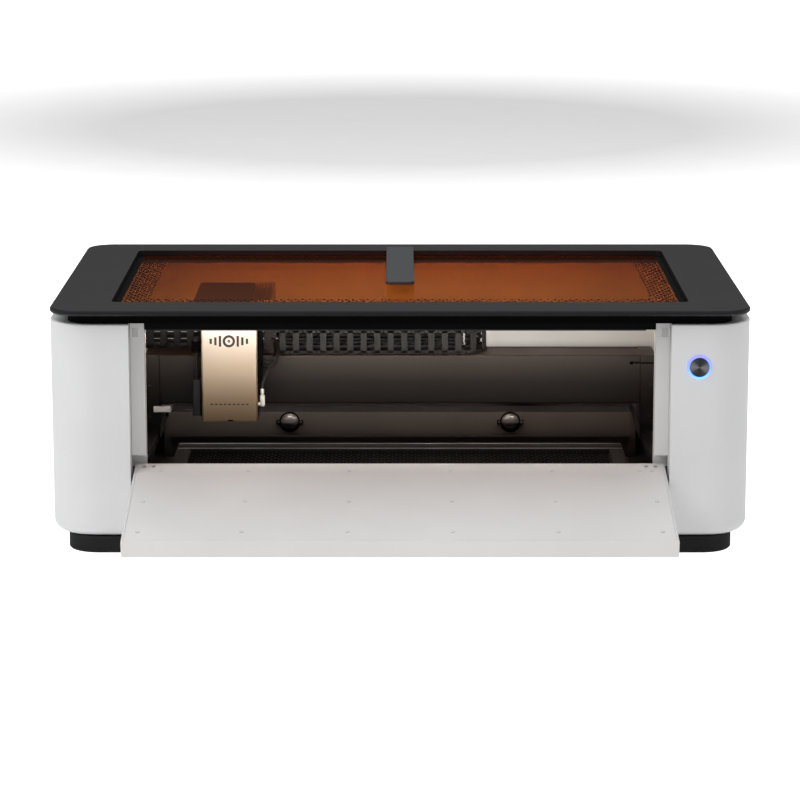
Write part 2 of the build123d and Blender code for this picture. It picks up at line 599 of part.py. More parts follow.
X_BELT_Z = 169.0
X_BELT = (261.0, 267.0)
IDLER_X = -268.0
DRIVE_X = 268.0
BEAM_WALL = 3.0
with BuildPart() as gantry_beam:
    slab((-BEAM_HALF, BEAM_HALF), BEAM, BEAM_Z)
    fillet(gantry_beam.edges().filter_by(Axis.X).group_by(Axis.Y)[0], 2)
    inside = (BEAM[0] + BEAM_WALL, BEAM[1] - BEAM_WALL)
    slab((-BEAM_HALF, BEAM_HALF), inside, (BEAM_Z[0] + BEAM_WALL, BEAM_Z[1] - BEAM_WALL), Mode.SUBTRACT)
    slab((-BEAM_HALF, BEAM_HALF), (245, 258), (BEAM_Z[1] - 1, BEAM_Z[1]), Mode.SUBTRACT)
    slab((263, BEAM_HALF), (BEAM[0], BEAM[0] + BEAM_WALL), (175.5, 177.8), Mode.SUBTRACT)
    rod("y", (IDLER_X, 264, X_BELT_Z), PIN_R, 8)
gantry_beam.part.label = "gantry_beam"
export_step(gantry_beam.part, "parts/gantry_beam.step")

END_X = (275.0, 292.0)
END_Z = (104.0, 186.0)
GUIDE = (330.0, 352.0)  # the second linear block on the left rail
MOTOR_PLATE = (269.0, 272.0)
with BuildPart() as gantry_ends:
    for side in SIDES:
        slab(beside(side, *END_X), BEAM, END_Z)
        rod("y", (side * 287, BEAM[0], 151), 1.8, 8, Mode.SUBTRACT)
        rod("y", (side * 287, BEAM[0], 115), 1.8, 8, Mode.SUBTRACT)
    chamfer(gantry_ends.edges().filter_by(Axis.Z).group_by(Axis.Y)[0], 1.5)
    slab((-END_X[1], -279), (255, GUIDE[1]), (END_Z[0], 112))
    slab((284, END_X[1]), (255, MOTOR_PLATE[1]), (150, 183))
    slab((251, END_X[1]), MOTOR_PLATE, (152, 183))
    rod("y", (DRIVE_X, 270, X_BELT_Z), 4, 10, Mode.SUBTRACT)
gantry_ends.part.label = "gantry_ends"
export_step(gantry_ends.part, "parts/gantry_ends.step")

BLOCK = (275.5, 298.4)
BLOCK_Z = (88.0, END_Z[0])
with BuildPart() as y_blocks:
    for side in SIDES:
        slab(beside(side, *BLOCK), (208, 258), BLOCK_Z)
        slab(beside(side, BLOCK[1], BELT_X[1]), (225, 241), (96, 101))
    slab((-BLOCK[1], -BLOCK[0]), GUIDE, BLOCK_Z)
    for side in SIDES:
        groove = beside(side, RAIL[0] - RUN_FIT, RAIL[1] + RUN_FIT)
        slab(groove, (200, 360), (80, RAIL_Z[1] + RUN_FIT), Mode.SUBTRACT)
y_blocks.part.label = "y_blocks"
export_step(y_blocks.part, "parts/y_blocks.step")

X_RAIL = (BEAM[1], 266.0)
X_RAIL_Z = (140.0, 152.0)
with BuildPart() as x_rail:
    slab((-262, 262), X_RAIL, X_RAIL_Z)
x_rail.part.label = "x_rail"
export_step(x_rail.part, "parts/x_rail.step")

with BuildPart() as x_belt:
    loop_plane = Plane(origin=(0, back(X_BELT[1]), X_BELT_Z), x_dir=(1, 0, 0), z_dir=(0, -1, 0))
    belt_loop(loop_plane, DRIVE_X, 6)
x_belt.part.label = "x_belt"
export_step(x_belt.part, "parts/x_belt.step")

with BuildPart() as x_motor:
    slab((DRIVE_X - 14, DRIVE_X + 14), (MOTOR_PLATE[1], 300), (X_BELT_Z - 14, X_BELT_Z + 14))
    chamfer(x_motor.edges().filter_by(Axis.Y), 3)
    rod("y", (DRIVE_X, MOTOR_PLATE[1] + 6, X_BELT_Z), 2.5 + RUN_FIT, 14, Mode.SUBTRACT)
x_motor.part.label = "x_motor"
export_step(x_motor.part, "parts/x_motor.step")


def y_pulley(x):
    """A flanged pulley of the X belt, turning about a Y axis."""
    rod("y", (x, 264, X_BELT_Z), PULLEY_R, 6)
    for depth in (260.7, 267.3):
        rod("y", (x, depth, X_BELT_Z), 8.2, 0.6)


with BuildPart() as x_idler_pulley:
    y_pulley(IDLER_X)
    rod("y", (IDLER_X, 264, X_BELT_Z), PIN_R + RUN_FIT, 12, Mode.SUBTRACT)
x_idler_pulley.part.label = "x_idler_pulley"
export_step(x_idler_pulley.part, "parts/x_idler_pulley.step")

with BuildPart() as x_drive_pulley:
    y_pulley(DRIVE_X)
    rod("y", (DRIVE_X, 270, X_BELT_Z), 2.5, 12)
x_drive_pulley.part.label = "x_drive_pulley"
export_step(x_drive_pulley.part, "parts/x_drive_pulley.step")

# ---------------------------------------------------------------- drag chain, lying on its side

PLATE = 3.6  # side plates of the links, which lie flat
BAR = 7.7  # width of the crossbars
BAR_T = 2.4
BEND_GAP = 0.3  # between a run and the bend, which move apart


def chain_run(x_low, x_high, links, depth):
    """Straight links: two side plates joined by crossbars on both faces, one pair for each link."""
    side_depth = (depth - CHAIN_T / 2, depth + CHAIN_T / 2)
    slab((x_low, x_high), side_depth, (CHAIN_Z[0], CHAIN_Z[0] + PLATE))
    slab((x_low, x_high), side_depth, (CHAIN_Z[1] - PLATE, CHAIN_Z[1]))
    for i in range(links):
        x = BEND_X - BEND_GAP - (i + 0.5) * PITCH
        for face in side_depth:
            inward = BAR_T if face < depth else -BAR_T
            slab((x - BAR / 2, x + BAR / 2), (face, face + inward), CHAIN_Z)


with BuildPart() as chain_front_run:
    chain_run(BEND_X - FRONT_LINKS * PITCH, BEND_X - BEND_GAP, FRONT_LINKS, CHAIN_FRONT)
chain_front_run.part.label = "chain_front_run"
export_step(chain_front_run.part, "parts/chain_front_run.step")

with BuildPart() as chain_rear_run:
    chain_run(BEND_X - REAR_LINKS * PITCH, BEND_X - BEND_GAP, REAR_LINKS, CHAIN_REAR)
chain_rear_run.part.label = "chain_rear_run"
export_step(chain_rear_run.part, "parts/chain_rear_run.step")

BEND_R = (CHAIN_REAR - CHAIN_FRONT) / 2
BEND_LINKS = 4
BEND_PLANE = Plane(origin=(BEND_X, back((CHAIN_FRONT + CHAIN_REAR) / 2), CHAIN_Z[0]))
CHAIN_H = CHAIN_Z[1] - CHAIN_Z[0]


def half_ring(low, high):
    """Half of a flat ring round the bend's centre, between two heights above the chain's underside."""
    with BuildSketch(BEND_PLANE.offset(low)) as ring:
        Circle(BEND_R + CHAIN_T / 2)
        Circle(BEND_R - CHAIN_T / 2, mode=Mode.SUBTRACT)
        with Locations((-50, 0)):
            Rectangle(100, 100, mode=Mode.SUBTRACT)
    extrude(ring.sketch, amount=high - low)


with BuildPart() as chain_bend:
    half_ring(0, PLATE)
    half_ring(CHAIN_H - PLATE, CHAIN_H)
    for i in range(BEND_LINKS):
        angle = -90 + 180 * (i + 0.5) / BEND_LINKS
        for radius, width in ((BEND_R + CHAIN_T / 2 - BAR_T, BAR), (BEND_R - CHAIN_T / 2 + BAR_T, 4)):
            spot = (radius * cos(radians(angle)), radius * sin(radians(angle)), CHAIN_H / 2)
            with Locations(BEND_PLANE.location * Location(spot, (0, 0, angle))):
                Box(BAR_T, width, CHAIN_H)
chain_bend.part.label = "chain_bend"
export_step(chain_bend.part, "parts/chain_bend.step")

# ---------------------------------------------------------------- carriage

MODULE_X0 = MODULE_X - MODULE_HALF
MODULE_X1 = MODULE_X + MODULE_HALF
COVER_T = 2.0
COVER_BACK = 172.0
PROBE_X = -231.5
PROBE_Y = 182.0
PROBE_R = 2.0
with BuildPart() as laser_cover:
    slab((MODULE_X0, MODULE_X1), (MODULE_FRONT, COVER_BACK), MODULE_Z)
    fillet(laser_cover.edges().filter_by(Axis.Z).group_by(Axis.Y)[0], 2.5)
    fillet(laser_cover.edges().group_by(Axis.Z)[-1].sort_by(Axis.Y)[0], 1.5)
    slab(
        (MODULE_X0 + COVER_T, MODULE_X1 - COVER_T),
        (MODULE_FRONT + COVER_T, COVER_BACK),
        (MODULE_Z[0], MODULE_Z[1] - COVER_T),
        Mode.SUBTRACT,
    )
    slab((MODULE_X - 4, MODULE_X + 4), (140, 155), (110, MODULE_Z[0] + 1.6), Mode.SUBTRACT)
laser_cover.part.label = "laser_cover"
export_step(laser_cover.part, "parts/laser_cover.step")

BRIDGE_Z = (226.0, 230.0)
with BuildPart() as laser_body:
    slab((MODULE_X0 + 2.3, MODULE_X1 - 2.3), (152.3, COVER_BACK + 0.3), (122, 222.7))
    slab((MODULE_X0, MODULE_X1), (COVER_BACK + 0.3, MODULE_REAR), (118, BRIDGE_Z[0]))
    rod("z", (MODULE_X, 178, 117), 4, 4)
    slab((MODULE_X1, MODULE_X1 + 5), (166, 196), (166, 224))
    slab((MODULE_X1, MODULE_X1 + 3.5), (168, 192), (160, 166))
    slab((-236.5, MODULE_X0), (PROBE_Y - 7, PROBE_Y + 7), (194, 206))
    rod("z", (PROBE_X, PROBE_Y, 200), PROBE_R + RUN_FIT, 20, Mode.SUBTRACT)
laser_body.part.label = "laser_body"
export_step(laser_body.part, "parts/laser_body.step")

# Plate over the beam and down its rear side, which hangs the module from the X rail's block
HOOD = (205.0, 330.0)
with BuildPart() as carriage_plate:
    slab((-236, -161.4), (152, 276), BRIDGE_Z)
    slab((-161.4, -140), (205, 276), BRIDGE_Z)
    slab((-236, -170), (268.5, 276), (134, BRIDGE_Z[1]))
    slab((-152, -143), (212, 224), (213, BRIDGE_Z[0]))
    slab((-156, BEND_X - FRONT_LINKS * PITCH), (210.5, 225.5), (187, 213))
carriage_plate.part.label = "carriage_plate"
export_step(carriage_plate.part, "parts/carriage_plate.step")

with BuildPart() as x_block:
    slab((-228, -178), (260.4, 268.5), (134, 158))
    slab((-212, -194), (260.8, 268.5), (158, 160.8))
    slab((-228, -178), (260, 266 + RUN_FIT), (X_RAIL_Z[0] - RUN_FIT, X_RAIL_Z[1] + RUN_FIT), Mode.SUBTRACT)
x_block.part.label = "x_block"
export_step(x_block.part, "parts/x_block.step")

# Hood over the driver and the finned heat sink beside it
with BuildPart() as carriage_hood:
    slab((-236, -170.3), HOOD, (BRIDGE_Z[1], 250))
    fillet(carriage_hood.edges().group_by(Axis.Z)[-1], 3)
    slab((-234, -172.3), (HOOD[0] + 2, HOOD[1] - 2), (BRIDGE_Z[1], 248), Mode.SUBTRACT)
carriage_hood.part.label = "carriage_hood"
export_step(carriage_hood.part, "parts/carriage_hood.step")

FINS = 7
with BuildPart() as heat_sink:
    slab((-170, -146), HOOD, (BRIDGE_Z[1], 234))
    for i in range(FINS):
        x = -170 + 24 * (i + 0.5) / FINS
        slab((x - 0.7, x + 0.7), HOOD, (234, 250))
heat_sink.part.label = "heat_sink"
export_step(heat_sink.part, "parts/heat_sink.step")

# Air line: an elbow on the module and a hose up to the chain's bracket
ELBOW_X = MODULE_X1 + 5.4
with BuildPart() as air_elbow:
    rod("z", (ELBOW_X, 160, 144.5), 5, 23)
    fillet(air_elbow.edges().group_by(Axis.Z)[-1], 1)
    slab((MODULE_X1 + 0.1, ELBOW_X), (157, 163), (134, 140))
air_elbow.part.label = "air_elbow"
export_step(air_elbow.part, "parts/air_elbow.step")


# The hose and two cables, held between the module and the chain's bracket
BRACKET_FACE = 210.3
CABLE_X0 = MODULE_X1 + 5
CABLE_X1 = MODULE_X1 + 18
LINES = (
    (2.0, (9, 9), ((ELBOW_X, 160, 156), (ELBOW_X, 160, 190), (-145, 180, 199), (-145, BRACKET_FACE, 199))),
    (1.6, (5, 5), ((CABLE_X0, 180, 207), (CABLE_X1, 180, 207), (-150, 194, 207), (-150, BRACKET_FACE, 207))),
    (1.6, (5, 5), ((CABLE_X0, 180, 190), (CABLE_X1, 180, 190), (-153, 194, 193), (-153, BRACKET_FACE, 193))),
)
with BuildPart() as carriage_lines:
    for radius, bends, corners in LINES:
        with BuildLine() as line:
            FilletPolyline(*[(x, back(depth), z) for x, depth, z in corners], radius=bends)
        with BuildSketch(Plane(origin=line.line @ 0, z_dir=line.line % 0)):
            Circle(radius)
        sweep()
carriage_lines.part.label = "carriage_lines"
export_step(carriage_lines.part, "parts/carriage_lines.step")

# Focus probe: a rod with a square foot, sliding in the ear on the module's left side
with BuildPart() as focus_probe:
    slab((-236.4, -226.4), (PROBE_Y - 7, PROBE_Y + 7), (121, 163))
    chamfer(focus_probe.edges().filter_by(Axis.Z), 1.5)
    rod("z", (PROBE_X, PROBE_Y, 187), PROBE_R, 48)
    rod("z", (PROBE_X, PROBE_Y, 208.5), 3.5, 4.4)
focus_probe.part.label = "focus_probe"
export_step(focus_probe.part, "parts/focus_probe.step")
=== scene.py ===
import json
import math

import bmesh
import bpy
from mathutils import Matrix, Vector


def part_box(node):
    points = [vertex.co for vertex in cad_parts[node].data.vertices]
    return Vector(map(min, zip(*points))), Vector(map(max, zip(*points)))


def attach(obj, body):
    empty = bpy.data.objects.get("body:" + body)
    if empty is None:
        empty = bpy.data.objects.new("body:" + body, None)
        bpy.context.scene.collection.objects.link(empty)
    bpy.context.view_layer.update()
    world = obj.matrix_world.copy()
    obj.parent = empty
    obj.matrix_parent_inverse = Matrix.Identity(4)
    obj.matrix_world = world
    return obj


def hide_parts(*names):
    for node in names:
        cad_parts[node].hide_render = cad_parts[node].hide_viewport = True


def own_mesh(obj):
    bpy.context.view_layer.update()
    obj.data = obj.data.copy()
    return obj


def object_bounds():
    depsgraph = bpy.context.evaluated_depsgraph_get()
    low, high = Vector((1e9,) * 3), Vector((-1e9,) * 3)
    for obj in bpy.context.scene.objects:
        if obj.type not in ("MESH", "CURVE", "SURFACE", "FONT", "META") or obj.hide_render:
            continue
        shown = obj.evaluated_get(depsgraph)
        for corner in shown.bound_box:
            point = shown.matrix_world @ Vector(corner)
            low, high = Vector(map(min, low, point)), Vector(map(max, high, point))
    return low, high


# Looks of a desktop laser cutter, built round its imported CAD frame. Metres, in the frame's own axes.
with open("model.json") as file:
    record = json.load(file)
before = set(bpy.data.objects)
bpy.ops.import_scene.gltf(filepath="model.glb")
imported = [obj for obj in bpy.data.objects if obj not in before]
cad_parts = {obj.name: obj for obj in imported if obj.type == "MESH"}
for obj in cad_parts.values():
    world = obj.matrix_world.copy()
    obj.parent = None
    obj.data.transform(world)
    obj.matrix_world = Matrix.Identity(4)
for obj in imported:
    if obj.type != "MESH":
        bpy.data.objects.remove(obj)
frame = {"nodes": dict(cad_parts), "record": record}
cad_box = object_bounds()
MM = 0.001
SIDES = (-1, 1)
UP, TO_FRONT, TO_BACK, TO_LEFT = (0, 0, 1), (0, -1, 0), (0, 1, 0), (-1, 0, 0)


# ---------------------------------------------------------------- materials

LOOKS = {}
WHITE, BLACK = (1, 1, 1, 1), (0, 0, 0, 1)
DRIFT = 9.0  # broad patches of tone per metre


def rgb(*levels):
    """A linear colour from 0-255 display levels."""
    shares = [v / 255 for v in levels]
    return (*[s / 12.92 if s <= 0.04045 else ((s + 0.055) / 1.055) ** 2.4 for s in shares], 1)


class Look:
    """One node material round a Principled shader, in the frame's coordinates, kept in LOOKS."""

    def __init__(self, name):
        LOOKS[name] = self
        self.mat = bpy.data.materials.new(name)
        self.mat.use_nodes = True
        self.tree = self.mat.node_tree
        self.shader = self.tree.nodes["Principled BSDF"]
        self.out = self.tree.nodes["Material Output"]
        self.place = self.add("ShaderNodeTexCoord").outputs["Object"]

    def add(self, kind, inputs=None, **settings):
        node = self.tree.nodes.new(kind)
        for key, value in settings.items():
            setattr(node, key, value)
        for key, value in (inputs or {}).items():
            self.put(node.inputs[key], value)
        return node

    def put(self, socket, value):
        if isinstance(value, bpy.types.NodeSocket):
            self.tree.links.new(value, socket)
        else:
            socket.default_value = value

    def math(self, operation, a, b=0.0):
        return self.add("ShaderNodeMath", {0: a, 1: b}, operation=operation).outputs[0]

    def noise(self, scale, detail=3.0, stretch=(1, 1, 1), seed=(0, 0, 0)):
        """Noise at so many features per metre, drawn out along the axes with a small stretch."""
        moved = self.add("ShaderNodeMapping", {"Vector": self.place, "Scale": stretch, "Location": seed})
        inputs = {"Vector": moved.outputs[0], "Scale": scale, "Detail": detail}
        return self.add("ShaderNodeTexNoise", inputs).outputs[0]

    def remap(self, value, low, high, to_low, to_high):
        return self.add("ShaderNodeMapRange", {0: value, 1: low, 2: high, 3: to_low, 4: to_high}).outputs[0]

    def part(self, vector, axis):
        """One of a vector's three parts."""
        return self.add("ShaderNodeSeparateXYZ", {0: vector}).outputs["XYZ".index(axis)]

    def across(self, node, axis):
        """0 to 1 from the low side of a CAD node's box to its high side."""
        low, high = (getattr(corner, axis.lower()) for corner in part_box(node))
        return self.remap(self.part(self.place, axis), low, high, 0.0, 1.0)

    def upward(self):
        """How far the surface faces up: 1 for a top, 0 for a wall, -1 for an underside."""
        return self.part(self.add("ShaderNodeNewGeometry").outputs["True Normal"], "Z")

    def ramp(self, value, stops):
        node = self.add("ShaderNodeValToRGB", {0: value})
        for i, (at, colour) in enumerate(stops):
            stop = node.color_ramp.elements[i] if i < 2 else node.color_ramp.elements.new(at)
            stop.position, stop.color = at, colour
        return node.outputs[0]

    def mix(self, share, a, b, blend="MIX"):
        node = self.add("ShaderNodeMix", data_type="RGBA", blend_type=blend)
        self.put(node.inputs[0], share)
        self.put(node.inputs[6], a)
        self.put(node.inputs[7], b)
        return node.outputs[2]

    def bump(self, height, depth, strength):
        inputs = {"Height": height, "Distance": depth, "Strength": strength}
        return self.add("ShaderNodeBump", inputs).outputs[0]

    def colour(self):
        """What feeds the base colour so far."""
        return self.shader.inputs["Base Color"].links[0].from_socket

    def set(self, **sockets):
        names = {"spec": "Specular IOR Level", "coat": "Coat Weight", "coat_rough": "Coat Roughness",
                 "aniso": "Anisotropic", "emit": "Emission Color", "emit_power": "Emission Strength",
                 "metal": "Metallic", "rough": "Roughness", "colour": "Base Color", "normal": "Normal"}
        for key, value in sockets.items():
            self.put(self.shader.inputs[names[key]], value)
        return self


def finish(name, dark, light, rough, grain, depth, stretch=(1, 1, 1), **sockets):
    """A solid finish: colour drifting between two tones, a fine grain in bump and roughness."""
    look = Look(name)
    drift = look.noise(DRIFT, 4.0)
    fine = look.noise(grain, 4.0, stretch)
    speck = look.noise(grain * 2.7, 2.0, stretch, (3.1, 1.7, 0.4))
    tone = look.math("ADD", look.math("MULTIPLY", drift, 0.6), look.math("MULTIPLY", speck, 0.4))
    wear = look.math("ADD", look.math("MULTIPLY", fine, 0.6), look.math("MULTIPLY", drift, 0.4))
    return look.set(colour=look.mix(look.remap(tone, 0.32, 0.68, 0.0, 1.0), dark, light),
                    rough=look.remap(wear, 0.3, 0.7, *rough), normal=look.bump(fine, depth, 0.6), **sockets)


def shaded(name, node, axis, stops, rough, grain, depth, stretch=(1, 1, 1), **sockets):
    """A finish whose tone runs along an axis of a CAD node, under the same fine grain."""
    look = finish(name, WHITE, (0.9, 0.9, 0.9, 1), rough, grain, depth, stretch)
    run = look.ramp(look.across(node, axis), stops)
    return look.set(colour=look.mix(1.0, run, look.colour(), "MULTIPLY"), **sockets)


def brushed(name, dark, light, rough, along):
    """Metal brushed along one axis."""
    stretch = tuple(0.04 if a == along else 1.0 for a in "XYZ")
    return finish(name, dark, light, rough, 2200.0, 0.00002, stretch, metal=1.0)


# Each says its darker and lighter tone, range of roughness, grain per metre and depth of that grain
finish("white_shell", rgb(226, 226, 227), rgb(233, 233, 234), (0.36, 0.46), 1300, 0.000018, spec=0.45)
finish("white_metal", rgb(224, 223, 222), rgb(232, 231, 230), (0.42, 0.55), 1700, 0.000025, spec=0.4)
finish("black_lid", rgb(21, 21, 24), rgb(27, 27, 30), (0.42, 0.52), 2600, 0.000012, spec=0.22)
finish("black_plastic", rgb(4, 4, 4), rgb(8, 8, 8), (0.68, 0.8), 1900, 0.00004, spec=0.05)
finish("dark_sheet", rgb(30, 27, 25), rgb(38, 34, 31), (0.48, 0.62), 1500, 0.00003)
finish("bed_grid", rgb(24, 22, 20), rgb(32, 29, 26), (0.5, 0.65), 1500, 0.00003, spec=0.2)
finish("arm_grey", rgb(52, 54, 58), rgb(59, 61, 66), (0.42, 0.5), 2400, 0.000015, metal=0.25)
finish("screw_white", rgb(216, 216, 217), rgb(228, 228, 229), (0.3, 0.42), 2400, 0.00001)
finish("rubber_black", rgb(20, 20, 21), rgb(29, 29, 31), (0.7, 0.88), 1200, 0.00006, spec=0.3)
finish("rail_black", rgb(28, 26, 24), rgb(38, 36, 34), (0.3, 0.42), 2200, 0.00002, (1, 0.04, 1), metal=0.7)
finish("beam_dark", rgb(48, 43, 39), rgb(56, 51, 47), (0.4, 0.5), 2400, 0.00001, (0.08, 1, 1), metal=0.2,
       spec=0.25)
finish("motor_black", rgb(30, 30, 32), rgb(44, 44, 46), (0.4, 0.55), 1500, 0.00005)
finish("chain_plastic", rgb(18, 16, 15), rgb(26, 23, 21), (0.42, 0.58), 1600, 0.00004)
finish("cable_black", rgb(9, 9, 9), rgb(16, 16, 17), (0.6, 0.75), 1500, 0.00002)
finish("heat_sink_metal", rgb(168, 148, 118), rgb(204, 184, 150), (0.28, 0.42), 2000, 0.00002, (1, 0.05, 1),
       metal=0.9)
finish("probe_grey", rgb(42, 41, 40), rgb(52, 50, 49), (0.36, 0.48), 2200, 0.00001, (1, 1, 0.1), metal=0.4)
finish("elbow_white", rgb(222, 221, 216), rgb(236, 235, 231), (0.25, 0.36), 1800, 0.00001)
finish("ink_grey", rgb(20, 19, 18), rgb(48, 45, 42), (0.35, 0.5), 900, 0.00001)
brushed("steel", rgb(176, 176, 180), rgb(206, 206, 210), (0.24, 0.4), "X")
brushed("catch_metal", rgb(168, 166, 164), rgb(198, 196, 194), (0.35, 0.5), "Z")
brushed("pulley_alloy", rgb(178, 178, 181), rgb(212, 212, 215), (0.2, 0.34), "Y")

# Gold-toned front, darker towards its foot: partly its own tone, partly painted light from the strip above,
# brightest at its top
shaded("champagne", "laser_cover", "Z", ((0.0, rgb(108, 88, 63)), (0.25, rgb(144, 123, 99)),
       (0.6, rgb(198, 180, 156)), (0.92, rgb(228, 214, 200)), (1.0, rgb(244, 234, 224))),
       (0.3, 0.42), 2600, 0.00001, (1, 1, 0.06), metal=0.45)

# Smooth anodised extrusion with painted light and shade: lighter towards its top, where light catches it,
# and near black at its foot, in shade
shaded("beam_painted_shading", "gantry_beam", "Z", ((0.0, rgb(22, 18, 16)), (0.45, rgb(40, 36, 33)),
       (0.85, rgb(66, 61, 57)), (1.0, rgb(72, 67, 63))), (0.4, 0.5), 2400, 0.00001, (0.08, 1, 1), metal=0.2,
       spec=0.25)

# The ring under the lid: black, with its rear bar painted like the wall
shaded("ring_frame", "top_frame", "Y", ((0.0, rgb(6, 6, 6)), (0.93, rgb(8, 8, 8)),
       (0.95, rgb(204, 199, 192)), (1.0, rgb(206, 201, 194))), (0.6, 0.72), 1900, 0.00004, spec=0.08)

# Light paint above; the dark below the height of the gantry is painted shade, where the beam shadows the
# wall
shaded("chamber_light", "chamber_walls", "Z", ((0.0, rgb(58, 52, 48)), (0.48, rgb(66, 60, 56)),
       (0.6, rgb(200, 195, 188)), (1.0, rgb(214, 210, 204))), (0.45, 0.6), 1500, 0.00003, spec=0.3)


def duct_brown():
    """Dark brown paint under painted light: an upright face lit towards its top and darkening downwards, and
    a top painted dark as shade.
    """
    stops = ((0.0, rgb(40, 35, 32)), (0.4, rgb(78, 70, 64)), (0.62, rgb(112, 102, 94)),
             (1.0, rgb(134, 123, 114)))
    look = shaded("duct_brown", "rear_duct", "Z", stops, (0.45, 0.58), 1500, 0.00003)
    # Painted shade: faces that look up are darkened
    top = look.remap(look.upward(), 0.5, 0.9, 0.0, 1.0)
    look.set(colour=look.mix(top, look.colour(), rgb(38, 34, 31)), spec=0.25)


def lens_cover():
    """Smoked dome: a bright upper half over a dark lower one, painted as its reflection, with rings of the
    lens inside.
    """
    stops = ((0.0, rgb(30, 27, 25)), (0.42, rgb(44, 40, 37)), (0.52, rgb(126, 119, 112)),
             (1.0, rgb(176, 168, 160)))
    look = shaded("lens_cover", "sensor_domes", "Z", stops, (0.06, 0.14), 1400, 0.000004, spec=0.7)
    bands = look.math("SINE", look.math("MULTIPLY", look.across("sensor_domes", "Z"), 42.0))
    rings = look.remap(bands, 0.2, 0.9, 0.0, 0.35)
    look.set(colour=look.mix(rings, look.colour(), rgb(58, 54, 50)), coat=0.6, coat_rough=0.06)


def amber_glass():
    """Tinted sheet: what lies behind it shows through, under a faint glossy surface whose orange is a
    painted glow, darker towards the back as painted shade.
    """
    look = Look("amber_glass")
    cloud, fine = look.noise(4.0, 3.0), look.noise(260.0, 2.0)
    to_back = look.across("lid_glass", "Y")
    near = look.mix(look.remap(cloud, 0.3, 0.7, 0.0, 1.0), (0.6, 0.3, 0.12, 1), (0.66, 0.34, 0.14, 1))
    # Painted shade: the tint darkens towards the back
    tint = look.mix(look.remap(to_back, 0.3, 1.0, 0.0, 1.0), near, (0.55, 0.2, 0.03, 1))
    painted_glow = look.ramp(to_back, ((0.0, rgb(152, 86, 42)), (0.35, rgb(138, 72, 30)), (1.0, rgb(88, 36, 6))))
    clouded = look.mix(cloud, rgb(120, 58, 22), rgb(150, 84, 40))
    look.set(colour=look.mix(0.12, painted_glow, clouded), rough=look.remap(fine, 0.3, 0.7, 0.05, 0.09), spec=0.3,
             normal=look.bump(cloud, 0.0002, 0.1))
    clear = look.add("ShaderNodeBsdfTransparent", {"Color": tint}).outputs[0]
    blend = look.add("ShaderNodeMixShader", {0: 0.26, 1: clear, 2: look.shader.outputs[0]})
    look.put(look.out.inputs["Surface"], blend.outputs[0])


def ring_light():
    """Frosted ring round the button, lit sky blue at its foot and violet at its top."""
    look = finish("ring_light", rgb(150, 170, 235), rgb(170, 190, 245), (0.3, 0.4), 1500, 0.00001)
    stops = ((0.0, rgb(70, 170, 255)), (0.45, rgb(60, 110, 255)), (1.0, rgb(96, 72, 255)))
    glow = look.ramp(look.across("button_barrel", "Z"), stops)
    flicker = look.mix(look.remap(look.noise(300.0, 2.0), 0.3, 0.7, 0.9, 1.0), BLACK, WHITE)
    look.set(emit=look.mix(1.0, glow, flicker, "MULTIPLY"), emit_power=1.5)


def led_white():
    """Dark channel whose underside is a frosted strip with a brighter spot at each diode."""
    look = finish("led_white", rgb(30, 28, 26), rgb(36, 34, 32), (0.4, 0.5), 1500, 0.00001)
    diode_step = 16.7 * MM
    phase = look.math("SINE", look.math("MULTIPLY", look.part(look.place, "X"), 2 * math.pi / diode_step))
    spots = look.remap(phase, -1.0, 1.0, 0.0, 1.0)
    look.set(emit=look.mix(spots, rgb(232, 214, 190), rgb(255, 248, 238)),
             emit_power=look.remap(look.upward(), -0.6, -0.9, 0.0, 2.2))


def button_metal():
    """Turned disc: fine spokes round its own centre, under two bright wedges painted in as highlights."""
    look = Look("button_metal")
    low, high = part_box("power_button")
    inputs = {0: look.place, 1: (low + high) / 2}
    from_centre = look.add("ShaderNodeVectorMath", inputs, operation="SUBTRACT").outputs[0]
    turn = look.math("ARCTAN2", look.part(from_centre, "Z"), look.part(from_centre, "X"))
    round_it = look.add("ShaderNodeCombineXYZ", {0: look.math("MULTIPLY", look.math("SINE", turn), 6.0),
                                                 1: look.math("MULTIPLY", look.math("COSINE", turn), 6.0)})
    inputs = {"Vector": round_it.outputs[0], "Scale": 9.0, "Detail": 5.0}
    spokes = look.add("ShaderNodeTexNoise", inputs).outputs[0]
    painted_highlight = look.math("SINE", look.math("MULTIPLY", look.math("ADD", turn, 0.9), 2.0))
    tone = look.math("ADD", look.remap(painted_highlight, -1.0, 1.0, 0.0, 0.7), look.math("MULTIPLY", spokes, 0.4))
    colour = look.ramp(tone, ((0.0, rgb(38, 38, 40)), (0.55, rgb(68, 68, 70)), (1.0, rgb(132, 133, 135))))
    look.set(colour=colour, metal=0.85, rough=look.remap(spokes, 0.3, 0.7, 0.26, 0.42), aniso=0.5,
             normal=look.bump(spokes, 0.00001, 0.5))


def supply_metal():
    """Galvanised sheet with crystal spangle."""
    look = Look("supply_metal")
    cells = look.add("ShaderNodeTexVoronoi", {"Vector": look.place, "Scale": 160.0})
    grey = look.add("ShaderNodeSeparateColor", {0: cells.outputs["Color"]}).outputs[0]
    look.set(colour=look.mix(grey, rgb(150, 152, 155), rgb(196, 198, 200)), metal=1.0,
             rough=look.remap(grey, 0.0, 1.0, 0.28, 0.46), normal=look.bump(look.noise(900.0), 0.00002, 0.4))


def board_green():
    """Solder mask over a grid of traces."""
    look = Look("board_green")
    swing = look.add("ShaderNodeMapping", {"Vector": look.place, "Rotation": (0, math.pi / 2, 0)})
    inputs = {"Vector": swing.outputs[0], "Color1": rgb(20, 96, 58), "Color2": rgb(26, 108, 66),
              "Mortar": rgb(38, 132, 84), "Scale": 120.0, "Mortar Size": 0.06}
    tiles = look.add("ShaderNodeTexBrick", inputs)
    look.set(colour=tiles.outputs["Color"], rough=look.remap(look.noise(1400.0), 0.3, 0.7, 0.3, 0.42),
             coat=0.2, normal=look.bump(tiles.outputs["Fac"], 0.00004, 0.5))


for make in (duct_brown, lens_cover, amber_glass, ring_light, led_white, button_metal, supply_metal,
             board_green):
    make()

